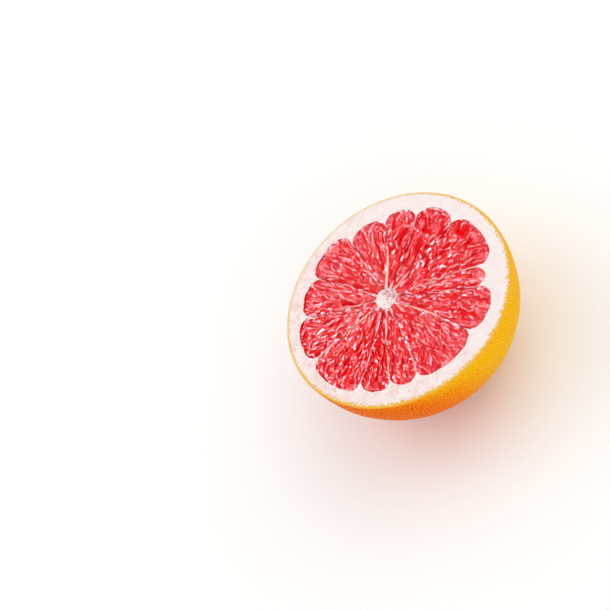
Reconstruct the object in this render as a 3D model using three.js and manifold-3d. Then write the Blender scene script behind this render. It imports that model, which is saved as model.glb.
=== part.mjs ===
// A halved pomelo, lying level on its peel with the cut face up.
// Millimetres, +Z up. The origin is on the surface it rests on, below the middle of the fruit.

import * as THREE from "three";
import { mergeVertices } from "three/addons/utils/BufferGeometryUtils.js";
import Module from "manifold-3d";

const wasm = await Module();
wasm.setup();

// Driving dimensions
const fruitRadius = 54;
const restSpotRadius = 9;
const skinThickness = 1.2;
const pieceGap = 0.3;
const membraneThickness = 0.6;
const fleshDepth = 42;
const coreCentre = new THREE.Vector2(-5.3, 0.9);
const coreRadius = 5;
const sacWidth = 4.2;
const sacLength = 11;
const sacRelief = 1.6;

// The 13 segments, anticlockwise. Each starts at the membrane whose outer end stands at this angle in
// degrees about the middle of the fruit, and its flesh reaches this far from the middle.
const segments = [
  { membrane: 1.5, reach: 43.3 },
  { membrane: 16.5, reach: 47.0 },
  { membrane: 57, reach: 46.7 },
  { membrane: 82.5, reach: 45.8 },
  { membrane: 104.5, reach: 45.0 },
  { membrane: 128, reach: 48.3 },
  { membrane: 160, reach: 47.0 },
  { membrane: 185.5, reach: 48.4 },
  { membrane: 215.5, reach: 48.1 },
  { membrane: 252, reach: 46.1 },
  { membrane: 271.5, reach: 44.3 },
  { membrane: 290, reach: 45.1 },
  { membrane: 331.5, reach: 46.1 },
];

// Shape of the dome: how far it is out of round, and into how many sides and rings it is divided
const ovalShare = 0.005;
const ovalAngle = 0.7;
const lobeShare = 0.003;
const lobeAngle = 1.0;
const domeSides = 52;
const domeRings = 12;

// Shape of a segment: how its outer wall draws in beside each membrane, its narrowest inner end, how far
// down its outer wall runs, and into how many steps its wall and its sacs are divided
const cornerDip = 4.6;
const cornerSize = 2.6;
const narrowestTip = 0.8;
const wallEndAngle = THREE.MathUtils.degToRad(72);
const wallSteps = 6;
const sacRows = 3;

// The cut face: how far the edge of the pulp lies below the plane of the cut, and how far the furrow beside
// a sac, the neck between two sacs and the smallest sac rise, as shares of the relief
const pulpDrop = 0.8;
const furrowShare = 0.2;
const neckShare = 0.45;
const smallSacShare = 0.6;

// How far a body that hollows out another stands above the plane of the cut
const cutClearance = 2;

// Points closer than this are one point
const mergeDistance = 1e-4;

// The plane of the cut passes through the middle of the fruit
const cutHeight = Math.sqrt(fruitRadius ** 2 - restSpotRadius ** 2);

const materials = {
  peel: new THREE.MeshStandardMaterial({ color: 0xf0a42a, roughness: 0.42, metalness: 0 }),
  pith: new THREE.MeshStandardMaterial({ color: 0xfaece6, roughness: 0.7, metalness: 0 }),
  pulp: new THREE.MeshStandardMaterial({ color: 0xe6262f, roughness: 0.25, metalness: 0 }),
};

function meshOf(points, triangles) {
  const geometry = new THREE.BufferGeometry();
  geometry.setAttribute("position", new THREE.Float32BufferAttribute(points.flat(), 3));
  geometry.setIndex(triangles.flat());
  return mergeVertices(geometry, mergeDistance);
}

function solidOf(geometry) {
  return new wasm.Manifold(new wasm.Mesh({
    numProp: 3,
    vertProperties: new Float32Array(geometry.attributes.position.array),
    triVerts: new Uint32Array(geometry.index.array),
  }));
}

function geometryOf(solid) {
  const { vertProperties, triVerts } = solid.getMesh();
  const geometry = new THREE.BufferGeometry();
  geometry.setAttribute("position", new THREE.BufferAttribute(vertProperties, 3));
  geometry.setIndex(new THREE.BufferAttribute(triVerts, 1));
  return geometry;
}

// How far the fruit's section is out of round at an angle about its axis
function roundness(angle) {
  return 1 + ovalShare * Math.cos(2 * angle - ovalAngle) + lobeShare * Math.cos(3 * angle + lobeAngle);
}

// A solid dome that lies inset inside the fruit's surface, flat where it rests and flat on top, which
// stands the given height above the plane of the cut
function dome(inset, topRise) {
  const radius = fruitRadius - inset;
  const flatAngle = Math.acos((cutHeight - inset) / radius);
  const rings = [];
  for (let ring = 0; ring <= domeRings; ring++) {
    const polar = THREE.MathUtils.lerp(flatAngle, Math.PI / 2, ring / domeRings);
    rings.push([radius * Math.sin(polar), cutHeight - radius * Math.cos(polar)]);
  }
  if (topRise > 0) rings.push([radius, cutHeight + topRise]);

  const points = [];
  for (const [reach, height] of rings) {
    for (let side = 0; side < domeSides; side++) {
      const angle = (2 * Math.PI * side) / domeSides;
      const out = reach * roundness(angle);
      points.push([out * Math.cos(angle), out * Math.sin(angle), height]);
    }
  }
  const bottom = points.push([0, 0, rings[0][1]]) - 1;
  const top = points.push([0, 0, rings.at(-1)[1]]) - 1;

  const triangles = [];
  const lastRing = (rings.length - 1) * domeSides;
  for (let side = 0; side < domeSides; side++) {
    const next = (side + 1) % domeSides;
    triangles.push([bottom, next, side], [top, lastRing + side, lastRing + next]);
    for (let ring = 0; ring < lastRing; ring += domeSides) {
      triangles.push([ring + side, ring + next, ring + domeSides + next]);
      triangles.push([ring + side, ring + domeSides + next, ring + domeSides + side]);
    }
  }
  return meshOf(points, triangles);
}

// The membrane that starts a segment stands in a plane through the core, at this angle about the core
function membraneAngle({ membrane, reach }) {
  const direction = THREE.MathUtils.degToRad(membrane);
  const outerEnd = new THREE.Vector2(reach * Math.cos(direction), reach * Math.sin(direction));
  return outerEnd.sub(coreCentre).angle();
}

// The angles about the core between which a segment lies
function segmentSpan(index) {
  const start = membraneAngle(segments[index]);
  const end = membraneAngle(segments[(index + 1) % segments.length]);
  return { start, end: end > start ? end : end + 2 * Math.PI };
}

// The distance from the core, in one direction, to a wall that is as far as reach from the fruit's middle
function wallDistance(angle, reach) {
  const along = coreCentre.x * Math.cos(angle) + coreCentre.y * Math.sin(angle);
  return Math.sqrt(along ** 2 - coreCentre.lengthSq() + reach ** 2) - along;
}

// A number from 0 to 1 that is fixed for each set of whole numbers
function scatter(a, b, c) {
  const value = Math.sin(a * 127.1 + b * 311.7 + c * 74.7) * 43758.5453;
  return value - Math.floor(value);
}

// The cut pulp of one column, from the core outward, as shares of the way and heights. Its long sacs point
// to the core, each two columns wide, and are staggered from column to column.
function sacProfile(segment, column, columns) {
  const rows = Math.round(segments[segment].reach / sacLength) * sacRows;
  const onMembrane = column === 0 || column === columns;
  const stagger = Math.floor(sacRows * scatter(segment, column, 1));
  const profile = [[0, -pulpDrop]];
  for (let row = 1; row < rows; row++) {
    const place = row + stagger;
    const sac = scatter(segment, column, 2 + Math.floor(place / sacRows));
    let share = THREE.MathUtils.lerp(smallSacShare, 1, sac);
    if (place % sacRows === 0) share *= neckShare;
    if (column % 2 === 0) share = furrowShare;
    if (onMembrane) share = 0;
    profile.push([row / rows, share * sacRelief - pulpDrop]);
  }
  return profile;
}

// A segment as a wedge swept about the core, from one membrane to the next. Its profile runs along the cut
// from the core outward, down the outer wall from its rim, and back to the core at the foot.
function wedge(index, { inset, wallGap, rimDrop, cutProfile }) {
  const { reach } = segments[index];
  const { start, end } = segmentSpan(index);
  const span = end - start;
  const columns = 2 * Math.round((reach * span) / sacWidth);
  const tip = (narrowestTip + membraneThickness + 2 * pieceGap) / (2 * Math.sin(span / 2));
  const inner = Math.max(coreRadius, tip) + wallGap;
  const depth = fleshDepth - wallGap;
  const rimAngle = Math.asin(rimDrop / depth);

  const profiles = [];
  for (let column = 0; column <= columns; column++) {
    const share = column / columns;
    const fromMembrane = reach * span * Math.min(share, 1 - share);
    const dip = cornerDip * Math.exp(-fromMembrane / cornerSize);
    const outer = wallDistance(THREE.MathUtils.lerp(start, end, share), reach - dip) - wallGap;
    const profile = cutProfile(index, column, columns).map(([way, height]) => (
      [THREE.MathUtils.lerp(inner, outer, way), height]));
    for (let step = 0; step <= wallSteps; step++) {
      const down = THREE.MathUtils.lerp(rimAngle, wallEndAngle, step / wallSteps);
      profile.push([outer * Math.cos(down), -depth * Math.sin(down)]);
    }
    profile.push([inner, -depth * Math.sin(wallEndAngle)]);
    profiles.push(profile);
  }

  const points = [];
  profiles.forEach((profile, column) => {
    for (const [radius, height] of profile) {
      const edge = Math.asin(inset / radius);
      const angle = THREE.MathUtils.lerp(start + edge, end - edge, column / columns);
      points.push([
        coreCentre.x + radius * Math.cos(angle),
        coreCentre.y + radius * Math.sin(angle),
        cutHeight + height,
      ]);
    }
  });

  const loop = profiles[0].length;
  const triangles = [];
  for (let column = 0; column < columns; column++) {
    for (let step = 0; step < loop; step++) {
      const a = column * loop + step;
      const b = column * loop + ((step + 1) % loop);
      triangles.push([a, b, b + loop], [a, b + loop, a + loop]);
    }
  }
  const side = (profile) => THREE.ShapeUtils.triangulateShape(
    profile.map(([radius, height]) => new THREE.Vector2(radius, height)), []);
  const last = columns * loop;
  side(profiles[0]).forEach(([a, b, c]) => triangles.push([a, b, c]));
  side(profiles[columns]).forEach(([a, b, c]) => triangles.push([last + c, last + b, last + a]));
  return meshOf(points, triangles);
}

// The chamber that the pith leaves for a segment, open at the cut
function chamber(index) {
  return wedge(index, {
    inset: membraneThickness / 2,
    wallGap: 0,
    rimDrop: 0,
    cutProfile: () => [[0, cutClearance], [1, cutClearance]],
  });
}

// The juice sacs of a segment, which fill its chamber up to the cut
function pulp(index) {
  return wedge(index, {
    inset: membraneThickness / 2 + pieceGap,
    wallGap: pieceGap,
    rimDrop: pulpDrop,
    cutProfile: sacProfile,
  });
}

function peel() {
  const bowl = solidOf(dome(0, 0)).subtract(solidOf(dome(skinThickness, cutClearance)));
  return geometryOf(bowl);
}

// The white of the rind, the core and the membranes in one
function pith() {
  let framework = solidOf(dome(skinThickness + pieceGap, 0));
  for (let index = 0; index < segments.length; index++) {
    framework = framework.subtract(solidOf(chamber(index)));
  }
  return geometryOf(framework);
}

function piece(name, geometry, material) {
  geometry.computeVertexNormals();
  const mesh = new THREE.Mesh(geometry, material);
  mesh.name = name;
  return mesh;
}

const group = new THREE.Group();
group.add(piece("peel", peel(), materials.peel));
group.add(piece("pith", pith(), materials.pith));
segments.forEach((segment, index) => {
  const name = `pulp_${String(index + 1).padStart(2, "0")}`;
  group.add(piece(name, pulp(index), materials.pulp));
});

export default group;
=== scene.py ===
"""A halved pomelo lying level on its peel, cut face up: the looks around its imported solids.

Shapes are worked out in millimetres and turned to metres where a mesh is made, and the nodes work in
metres. The middle of the fruit is on the Z axis, and the core is a little to one side of it.
"""

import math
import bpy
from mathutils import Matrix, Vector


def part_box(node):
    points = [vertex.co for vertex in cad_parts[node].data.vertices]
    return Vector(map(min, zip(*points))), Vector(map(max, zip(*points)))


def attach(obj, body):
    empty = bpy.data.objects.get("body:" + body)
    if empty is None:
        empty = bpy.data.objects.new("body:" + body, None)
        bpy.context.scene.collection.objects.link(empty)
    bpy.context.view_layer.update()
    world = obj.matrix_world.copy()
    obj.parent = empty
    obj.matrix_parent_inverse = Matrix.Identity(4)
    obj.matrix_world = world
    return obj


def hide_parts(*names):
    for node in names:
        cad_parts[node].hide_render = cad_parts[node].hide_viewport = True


bl_info = {
    "name": "Halved pomelo",
    "version": (1, 0, 0),
    "blender": (4, 5, 0),
    "location": "View3D > Sidebar > Pomelo",
    "description": "Builds the peel, the pith and the pulp of a halved pomelo on its packed solids",
    "category": "Add Mesh",
}

import bmesh
import bpy
import numpy as np
from mathutils import Matrix, Vector, geometry

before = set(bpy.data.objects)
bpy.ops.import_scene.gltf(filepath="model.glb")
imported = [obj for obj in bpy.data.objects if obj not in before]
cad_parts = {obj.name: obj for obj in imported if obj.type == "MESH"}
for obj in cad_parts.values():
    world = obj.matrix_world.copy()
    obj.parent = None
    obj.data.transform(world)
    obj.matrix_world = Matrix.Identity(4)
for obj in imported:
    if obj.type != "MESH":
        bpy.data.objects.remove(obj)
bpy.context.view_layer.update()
CUT_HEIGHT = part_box("pith")[1].z
MM = 0.001
TURN = 2 * math.pi

# An edge where faces meet at more than this angle is a knife's edge, not rounded
SHARP_ANGLE = math.radians(65)

# How far the fruit's section is out of round, as its solids are: how much its two wide bulges and its three
# slight ones stand out, as shares of the radius, and where about the axis they lie
OVAL_SHARE = 0.005
OVAL_ANGLE = 0.7
LOBE_SHARE = 0.003
LOBE_ANGLE = 1.0

# The sockets of a Mix node that mixes colours: the two colours, and what comes out
MIX_A = 6
MIX_B = 7
MIXED = 2

# The heights in millimetres between which the pulp turns from a darker red, painted shade in its hollows, to
# bright red. The pale skins fade out below them as well.
PULP_LOW = CUT_HEIGHT / MM - 1.3
PULP_HIGH = CUT_HEIGHT / MM - 0.3

# The segments, anticlockwise. Each starts at the membrane whose outer end stands at the first number, in
# degrees about the middle of the fruit. Then come how far its flesh reaches from the middle, in
# millimetres, and how far that membrane bows to the left of a straight line, seen from the core.
SEGMENTS = (
    (1.5, 43.3, 0.3),
    (16.5, 47.0, 0.6),
    (57.0, 46.7, -0.4),
    (82.5, 45.8, -1.2),
    (104.5, 45.0, -1.7),
    (128.0, 48.3, 0.5),
    (160.0, 47.0, -1.3),
    (185.5, 48.4, 0.4),
    (215.5, 48.1, -0.4),
    (252.0, 46.1, 0.5),
    (271.5, 44.3, -0.5),
    (290.0, 45.1, 0.8),
    (331.5, 46.1, 1.0),
)


class PomeloSizes(bpy.types.PropertyGroup):
    """Sizes of the fruit's pieces"""

    radius: bpy.props.FloatProperty(
        name="Radius", description="Radius of the fruit at the cut", default=0.054, unit="LENGTH")
    cut_height: bpy.props.FloatProperty(
        name="Cut height", description="Height of the cut face", default=CUT_HEIGHT, unit="LENGTH")
    skin: bpy.props.FloatProperty(
        name="Skin", description="Thickness of the coloured skin", default=0.00115, unit="LENGTH")
    pore_spacing: bpy.props.FloatProperty(
        name="Pore spacing", description="Distance between oil glands", default=0.00196, unit="LENGTH")
    pore_depth: bpy.props.FloatProperty(
        name="Pore depth", description="Depth of the pit over an oil gland", default=0.00015, unit="LENGTH")
    gland_size: bpy.props.FloatProperty(
        name="Gland size", description="Width of an opened oil gland", default=0.00085, unit="LENGTH")
    scar_radius: bpy.props.FloatProperty(
        name="Scar radius", description="Radius of the dimple at the flower end", default=0.0019,
        unit="LENGTH")
    core: bpy.props.FloatVectorProperty(
        name="Core", description="Middle of the core on the cut face", size=2, default=(-0.0053, 0.0009),
        unit="LENGTH")
    core_radius: bpy.props.FloatProperty(
        name="Core radius", description="Radius of the white core", default=0.005, unit="LENGTH")
    membrane: bpy.props.FloatProperty(
        name="Membrane", description="Thickness of the walls between segments", default=0.0003,
        unit="LENGTH")
    flesh_depth: bpy.props.FloatProperty(
        name="Flesh depth", description="Depth of the segments below the cut", default=0.042,
        unit="LENGTH")
    sac_width: bpy.props.FloatProperty(
        name="Sac width", description="Width of a juice sac", default=0.0021, unit="LENGTH")
    sac_length: bpy.props.FloatProperty(
        name="Sac length", description="Length of a juice sac", default=0.0066, unit="LENGTH")
    pulp_step: bpy.props.FloatProperty(
        name="Pulp step", description="Distance between the pulp's mesh points", default=0.00018,
        unit="LENGTH")
    seed: bpy.props.IntProperty(name="Seed", description="Seed of the random draws", default=7)


def linear(hex_colour):
    """An sRGB hex colour as linear RGBA."""
    parts = [int(hex_colour[i:i + 2], 16) / 255 for i in (1, 3, 5)]
    return tuple(c / 12.92 if c <= 0.04045 else ((c + 0.055) / 1.055) ** 2.4 for c in parts) + (1.0,)


def colour_property(name, description, default):
    """A colour that the panel shows, given as an sRGB hex value."""
    return bpy.props.FloatVectorProperty(
        name=name, description=description, size=4, subtype="COLOR", min=0, max=1, default=linear(default))


class PomeloColours(bpy.types.PropertyGroup):
    """Colours of the fruit"""

    peel_yellow: colour_property("Peel, shaded side", "Golden side of the peel", "#f3b60c")
    peel_orange: colour_property("Peel, sunny side", "Blushed side of the peel", "#f07400")
    peel_pink: colour_property("Peel, blush", "Pink blush of the peel", "#e67c4e")
    scar: colour_property("Scar", "Corky scar at the flower end", "#8f6636")
    pore_yellow: colour_property("Pores, shaded side", "Pits on the golden side", "#d67c00")
    pore: colour_property("Pores, sunny side", "Pits on the blushed side", "#c23800")
    skin_edge: colour_property("Cut skin", "The skin where it is cut", "#e7a500")
    skin_inner: colour_property("Cut skin, inner", "The skin beside the pith", "#ebba12")
    skin_pale: colour_property("Cut skin, pale", "The skin on its palest side", "#eedbae")
    gland: colour_property("Oil glands", "Opened oil glands", "#edb624")
    pith: colour_property("Pith", "White of the rind", "#f2e6e3")
    pith_fleck: colour_property("Pith flecks", "Faint pink flecks in the white", "#e2ada2")
    core_stain: colour_property("Core stains", "Juice that has soaked into the core", "#c4647a")
    membrane: colour_property("Membranes", "Walls between the segments", "#ffb2a8")
    pulp: colour_property("Pulp", "Juice sacs", "#ff0c14")
    # Painted shade: a darker, deeper red that the pulp gets in its hollows and low parts
    pulp_hollow_shade: colour_property("Pulp, deep", "Furrows between the sacs", "#ff040e")
    pulp_pale: colour_property("Pulp, pale", "Skins of the juice sacs", "#fd6c72")
    floor: colour_property("Floor", "The surface under the fruit", "#f8f8f7")


def pattern_scale(width):
    """A pattern's scale in cells to a metre, from the real width of its cells in millimetres."""
    return 1 / (width * MM)


def add_node(tree, kind, settings=None, inputs=None):
    """Adds a node, with its settings, and its inputs as values or as sockets to link from."""
    node = tree.nodes.new(kind)
    for key, value in (settings or {}).items():
        setattr(node, key, value)
    for key, value in (inputs or {}).items():
        if isinstance(value, bpy.types.NodeSocket):
            tree.links.new(value, node.inputs[key])
        else:
            node.inputs[key].default_value = value
    return node


def new_material(name):
    """An empty material, and its node tree."""
    material = bpy.data.materials.new(name)
    material.use_nodes = True
    tree = material.node_tree
    tree.nodes.clear()
    return material, tree


def finish_material(tree, shader):
    """Shows a shader on the surface."""
    add_node(tree, "ShaderNodeOutputMaterial", {}, {"Surface": shader.outputs[0]})


def mesh_from(name, points, faces):
    """A mesh from points in millimetres and a list of faces."""
    mesh = bpy.data.meshes.new(name)
    mesh.from_pydata(np.asarray(points) * MM, [], faces)
    mesh.validate()
    mesh.update()
    return mesh


def add_attribute(mesh, name, values):
    """Stores numbers or vectors on a mesh's points."""
    vectors = values.shape[-1] == 3 and values.size == 3 * len(mesh.vertices)
    attribute = mesh.attributes.new(name, "FLOAT_VECTOR" if vectors else "FLOAT", "POINT")
    attribute.data.foreach_set("vector" if vectors else "value", values.ravel().astype(np.float32))


def place(mesh, material, replaced):
    """Shows a finished mesh as a piece that stands for CAD nodes."""
    piece = bpy.data.objects.new(mesh.name, mesh)
    bpy.context.scene.collection.objects.link(piece)
    if material:
        piece.data.materials.append(material)
    piece.data.shade_smooth()
    piece.data.set_sharp_from_angle(angle=SHARP_ANGLE)
    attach(piece, "root")
    if replaced:
        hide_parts(*replaced)
    return piece


def grid_faces(index, close=False):
    """Quads between the neighbours in an array of point numbers, whose columns run anticlockwise."""
    a, b = (index, np.roll(index, -1, axis=0)) if close else (index[:-1], index[1:])
    quads = np.stack([a[:, :-1], a[:, 1:], b[:, 1:], b[:, :-1]], axis=-1)
    return quads.reshape(-1, 4)


def scatter(i, j, seed):
    """A number from -1 to 1 that is fixed for each three numbers."""
    value = np.sin(i * 127.1 + j * 311.7 + seed * 74.7) * 43758.5453
    return 2 * (value - np.floor(value)) - 1


def value_noise(x, y, seed):
    """Smooth noise from -1 to 1 over a grid of unit cells, fixed by its seed."""
    i, j = np.floor(x), np.floor(y)
    s, t = x - i, y - j
    s, t = s * s * (3 - 2 * s), t * t * (3 - 2 * t)
    low = scatter(i, j, seed) * (1 - s) + scatter(i + 1, j, seed) * s
    high = scatter(i, j + 1, seed) * (1 - s) + scatter(i + 1, j + 1, seed) * s
    return low * (1 - t) + high * t


def layered_noise(x, y, layers, shift=0):
    """A sum of layers of noise, each given as its height, its cells to a unit and its seed."""
    return sum(height * value_noise(x * cells, y * cells, seed + shift) for height, cells, seed in layers)


def roundness(angle):
    """The fruit's outline at an angle about its axis, as a share of its radius."""
    return 1 + OVAL_SHARE * np.cos(2 * angle - OVAL_ANGLE) + LOBE_SHARE * np.cos(3 * angle + LOBE_ANGLE)


def roundness_nodes(tree, angle):
    """The same share worked out by nodes, from and to a socket."""
    waves = []
    for bulges, shift, share in ((2.0, -OVAL_ANGLE, OVAL_SHARE), (3.0, LOBE_ANGLE, LOBE_SHARE)):
        phase = add_node(tree, "ShaderNodeMath", {"operation": "MULTIPLY_ADD"}, {
            0: angle, 1: bulges, 2: shift})
        wave = add_node(tree, "ShaderNodeMath", {"operation": "COSINE"}, {0: phase.outputs[0]})
        waves.append(add_node(tree, "ShaderNodeMath", {"operation": "MULTIPLY"}, {
            0: wave.outputs[0], 1: share}))
    both = add_node(tree, "ShaderNodeMath", {"operation": "ADD"}, {
        0: waves[0].outputs[0], 1: waves[1].outputs[0]})
    return add_node(tree, "ShaderNodeMath", {"operation": "ADD"}, {0: both.outputs[0], 1: 1.0}).outputs[0]


class CutFace:
    """Where the core, the membranes and the segments lie on the cut face, in millimetres."""

    # How far the flesh's wall draws in beside a membrane, and over what width
    corner_dip = 4.6
    corner_size = 2.6

    # How much a membrane widens on each side where it meets the core, and over what length
    spike_width = 0.45
    spike_length = 1.3

    # The narrowest inner end of a segment, and how far out from the core it is looked for
    narrowest = 0.5
    farthest_inner = 20.0
    inner_step = 0.05

    # How far down the flesh's outer wall runs, as an angle
    wall_end = math.radians(72)

    # Layers of noise in the membranes' bends, along their length, and in the outer wall, along its angle:
    # each layer's height, its cells to a length or to a radian, and its seed
    membrane_waves = ((0.5, 4.5, 30), (0.14, 15.0, 80))
    wall_ripples = ((0.32, 11.0, 5), (0.14, 31.0, 6))

    # How strongly sacs close over a membrane: the noise's height, its cells to a millimetre, and its seed
    cover_strength = 1.6
    cover_cells = 0.28
    cover_seed = 60

    def __init__(self, size):
        self.core = np.array(size.core) / MM
        self.core_radius = size.core_radius / MM
        self.half_membrane = size.membrane / MM / 2
        self.radius = size.radius / MM
        self.height = size.cut_height / MM
        self.depth = size.flesh_depth / MM
        self.count = len(SEGMENTS)
        self.angles = []
        for membrane, reach, _ in SEGMENTS:
            turn = math.radians(membrane)
            outer = reach * np.array([math.cos(turn), math.sin(turn)]) - self.core
            self.angles.append(math.atan2(outer[1], outer[0]) % TURN)
        self.inner = [self.find_inner(index) for index in range(self.count)]

    def span(self, index):
        """The angles about the core between which a segment lies."""
        start, end = self.angles[index], self.angles[(index + 1) % self.count]
        return start, end if end > start else end + TURN

    def to_core(self, angle, reach):
        """The distance from the core to a wall that is as far as reach from the middle."""
        along = self.core[0] * np.cos(angle) + self.core[1] * np.sin(angle)
        return np.sqrt(along ** 2 - self.core @ self.core + reach ** 2) - along

    def bow(self, membrane, r):
        """How far a membrane strays from its straight line, as an angle."""
        _, reach, bow = SEGMENTS[membrane % self.count]
        share = np.clip((r - self.core_radius) / (reach - self.core_radius), 0, 1)
        waves = layered_noise(share, share * 0, self.membrane_waves, membrane % self.count)
        return (bow + waves) * np.sin(math.pi * share) / r

    def half_width(self, r):
        """Half the thickness of a membrane, which spreads into the core."""
        return self.half_membrane + self.spike_width * np.exp((self.core_radius - r) / self.spike_length)

    def sides(self, index, r, margin=0.0):
        """The angles at which a segment starts and ends, at a distance from the core."""
        start, end = self.span(index)
        wall = (self.half_width(r) - margin) / r
        return start + self.bow(index, r) + wall, end + self.bow(index + 1, r) - wall

    def cover(self, membrane, r):
        """How far the sacs beside a membrane close over it, from 0 to 1."""
        noise = value_noise(r * self.cover_cells, r * 0, self.cover_seed + membrane % self.count)
        return np.clip(self.cover_strength * noise, 0, 1)

    def find_inner(self, index):
        """How far from the core a segment's inner end is."""
        r = np.arange(self.core_radius, self.farthest_inner, self.inner_step)
        start, end = self.sides(index, r)
        return float(r[np.argmax((end - start) * r > self.narrowest)])

    def outer(self, index, share):
        """How far from the core the flesh reaches, at shares of the way from one membrane to the next."""
        reach = SEGMENTS[index][1]
        start, end = self.span(index)
        angle = start + (end - start) * share
        from_membrane = reach * (end - start) * np.minimum(share, 1 - share)
        dip = self.corner_dip * np.exp(-from_membrane / self.corner_size)
        return self.to_core(angle, reach - dip + layered_noise(angle, angle * 0, self.wall_ripples))

    def point(self, r, angle, height):
        """A point at a distance and angle about the core, and a height over the cut."""
        x = self.core[0] + r * np.cos(angle)
        y = self.core[1] + r * np.sin(angle)
        return np.stack(np.broadcast_arrays(x, y, self.height + height), axis=-1)

    def skin_distance(self, angle, inset):
        """The distance from the core to just inside the peel."""
        r = self.to_core(angle, self.radius - inset)
        for _ in range(3):
            x, y = self.core[0] + r * np.cos(angle), self.core[1] + r * np.sin(angle)
            r = self.to_core(angle, (self.radius - inset) * roundness(np.arctan2(y, x)))
        return r

    def side_faces(self, points, numbers, order):
        """Triangles over a flat side in a plane through the core's axis, whose corners go round it by
        number. The order, 1 or -1, says to which side they face."""
        flat = [Vector((math.hypot(p[0] - self.core[0], p[1] - self.core[1]), p[2])) for p in points]
        faces = []
        for triangle in geometry.tessellate_polygon([[corner.to_3d() for corner in flat]]):
            first, second, third = (flat[i] for i in triangle)
            area = (second - first).cross(third - first)
            way_round = triangle if area * order > 0 else triangle[::-1]
            faces.append(tuple(int(numbers[i]) for i in way_round))
        return faces


# How the juice sacs lie. A row lies this share of a sac's length beyond the one before. The first lies this
# many millimetres beyond the flesh's inner end, and the last up to as many beyond its wall.
ROW_SHARE = 0.55
ROW_OVERRUN = 0.5

# In a zone beside the wall, given in millimetres, sacs get shorter and wider by these shares
WALL_ZONE = 9.0
WALL_SHORTENING = 0.5
WALL_WIDENING = 0.15

# The length of the sacs at the core, as a share of the usual one, and over how many millimetres it would
# grow by another whole one
CORE_LENGTH_SHARE = 0.55
CORE_GROWTH = 18.0

# How much the sacs stray: sideways and along, as shares of the room they have, and in their direction, in
# radians, far from the wall and more beside it
SIDE_STRAY = 0.4
ROW_STRAY = 0.5
TURN_SPREAD = 0.24
WALL_TURN_SPREAD = 0.45

# The shortest and longest, and the narrowest and widest sacs, as shares of the usual size, how high their
# backs stand on average, by how much that varies, and how far their outer ends rise or sink at most, in
# millimetres
LENGTHS = (0.7, 1.35)
WIDTHS = (0.75, 1.5)
MEAN_RISE = -0.4
RISE_SPREAD = 0.42
STEEPEST = 0.6

# A sac seen from above: how bluntly its ends and its sides round off, how wide its middle is, as a share
# of its outer end, and how deep its edge lies under its back, as a share of half its width. Its outline
# wavers by this many millimetres, in noise with this many cells to a millimetre.
END_BLUNTNESS = 2.5
SIDE_BLUNTNESS = 2.6
MIDDLE_WIDTH = 0.72
BACK_SHARE = 0.8
WAVER = 0.22
WAVER_CELLS = 0.7

# A sac's points are looked for within this many times half its length of its middle. Where no sac lies,
# the pulp would be this low, in millimetres.
SEARCH_SHARE = 1.1
NO_SAC = -9.0

# A sac's skin is wrinkled into facets: their width in millimetres, their length as a share of half the
# sac's, how much they tilt, lengthwise less than sideways, and how much they count against the rounded
# shape of the sac
FACET_WIDTH = 0.75
FACET_SHARE = 0.6
FACET_TILT = 0.32
FACET_LENGTHWISE = 0.7
FACET_WEIGHT = 2.2


def lay_sacs(face, index, size, rng):
    """The juice sacs of a segment, in rows that lead from the core to the wall. Each is given as its place
    about the core, its direction, half its length and width, its rise, its slope and a chance number."""
    width, length = size.sac_width / MM, size.sac_length / MM
    limit = float(face.outer(index, np.array([0.5]))[0])
    inner = face.inner[index]
    sacs = []
    r = inner + ROW_OVERRUN
    while r < limit + ROW_OVERRUN:
        near_wall = np.clip((r - limit + WALL_ZONE) / WALL_ZONE, 0, 1)
        start, end = (float(a) for a in face.sides(index, np.array(r)))
        near_core_share = min(1, CORE_LENGTH_SHARE + (r - inner) / CORE_GROWTH)
        row_length = length * (1 - WALL_SHORTENING * near_wall) * near_core_share
        row_width = width * (1 + WALL_WIDENING * near_wall)
        turn_spread = TURN_SPREAD + WALL_TURN_SPREAD * near_wall ** 2
        across = max(1, round((end - start) * r / width))
        for i in range(across):
            share = (i + 0.5 + rng.uniform(-SIDE_STRAY, SIDE_STRAY)) / across
            angle = start + (end - start) * share
            radius = r + rng.uniform(-ROW_STRAY, ROW_STRAY) * row_length * ROW_SHARE
            sacs.append((
                radius * math.cos(angle),
                radius * math.sin(angle),
                angle + rng.normal(0, turn_spread),
                0.5 * row_length * rng.uniform(*LENGTHS),
                0.5 * row_width * rng.uniform(*WIDTHS),
                rng.normal(MEAN_RISE, RISE_SPREAD),
                rng.uniform(-STEEPEST, STEEPEST),
                rng.uniform(0, 1),
            ))
        r += row_length * ROW_SHARE
    return np.array(sacs)


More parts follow.
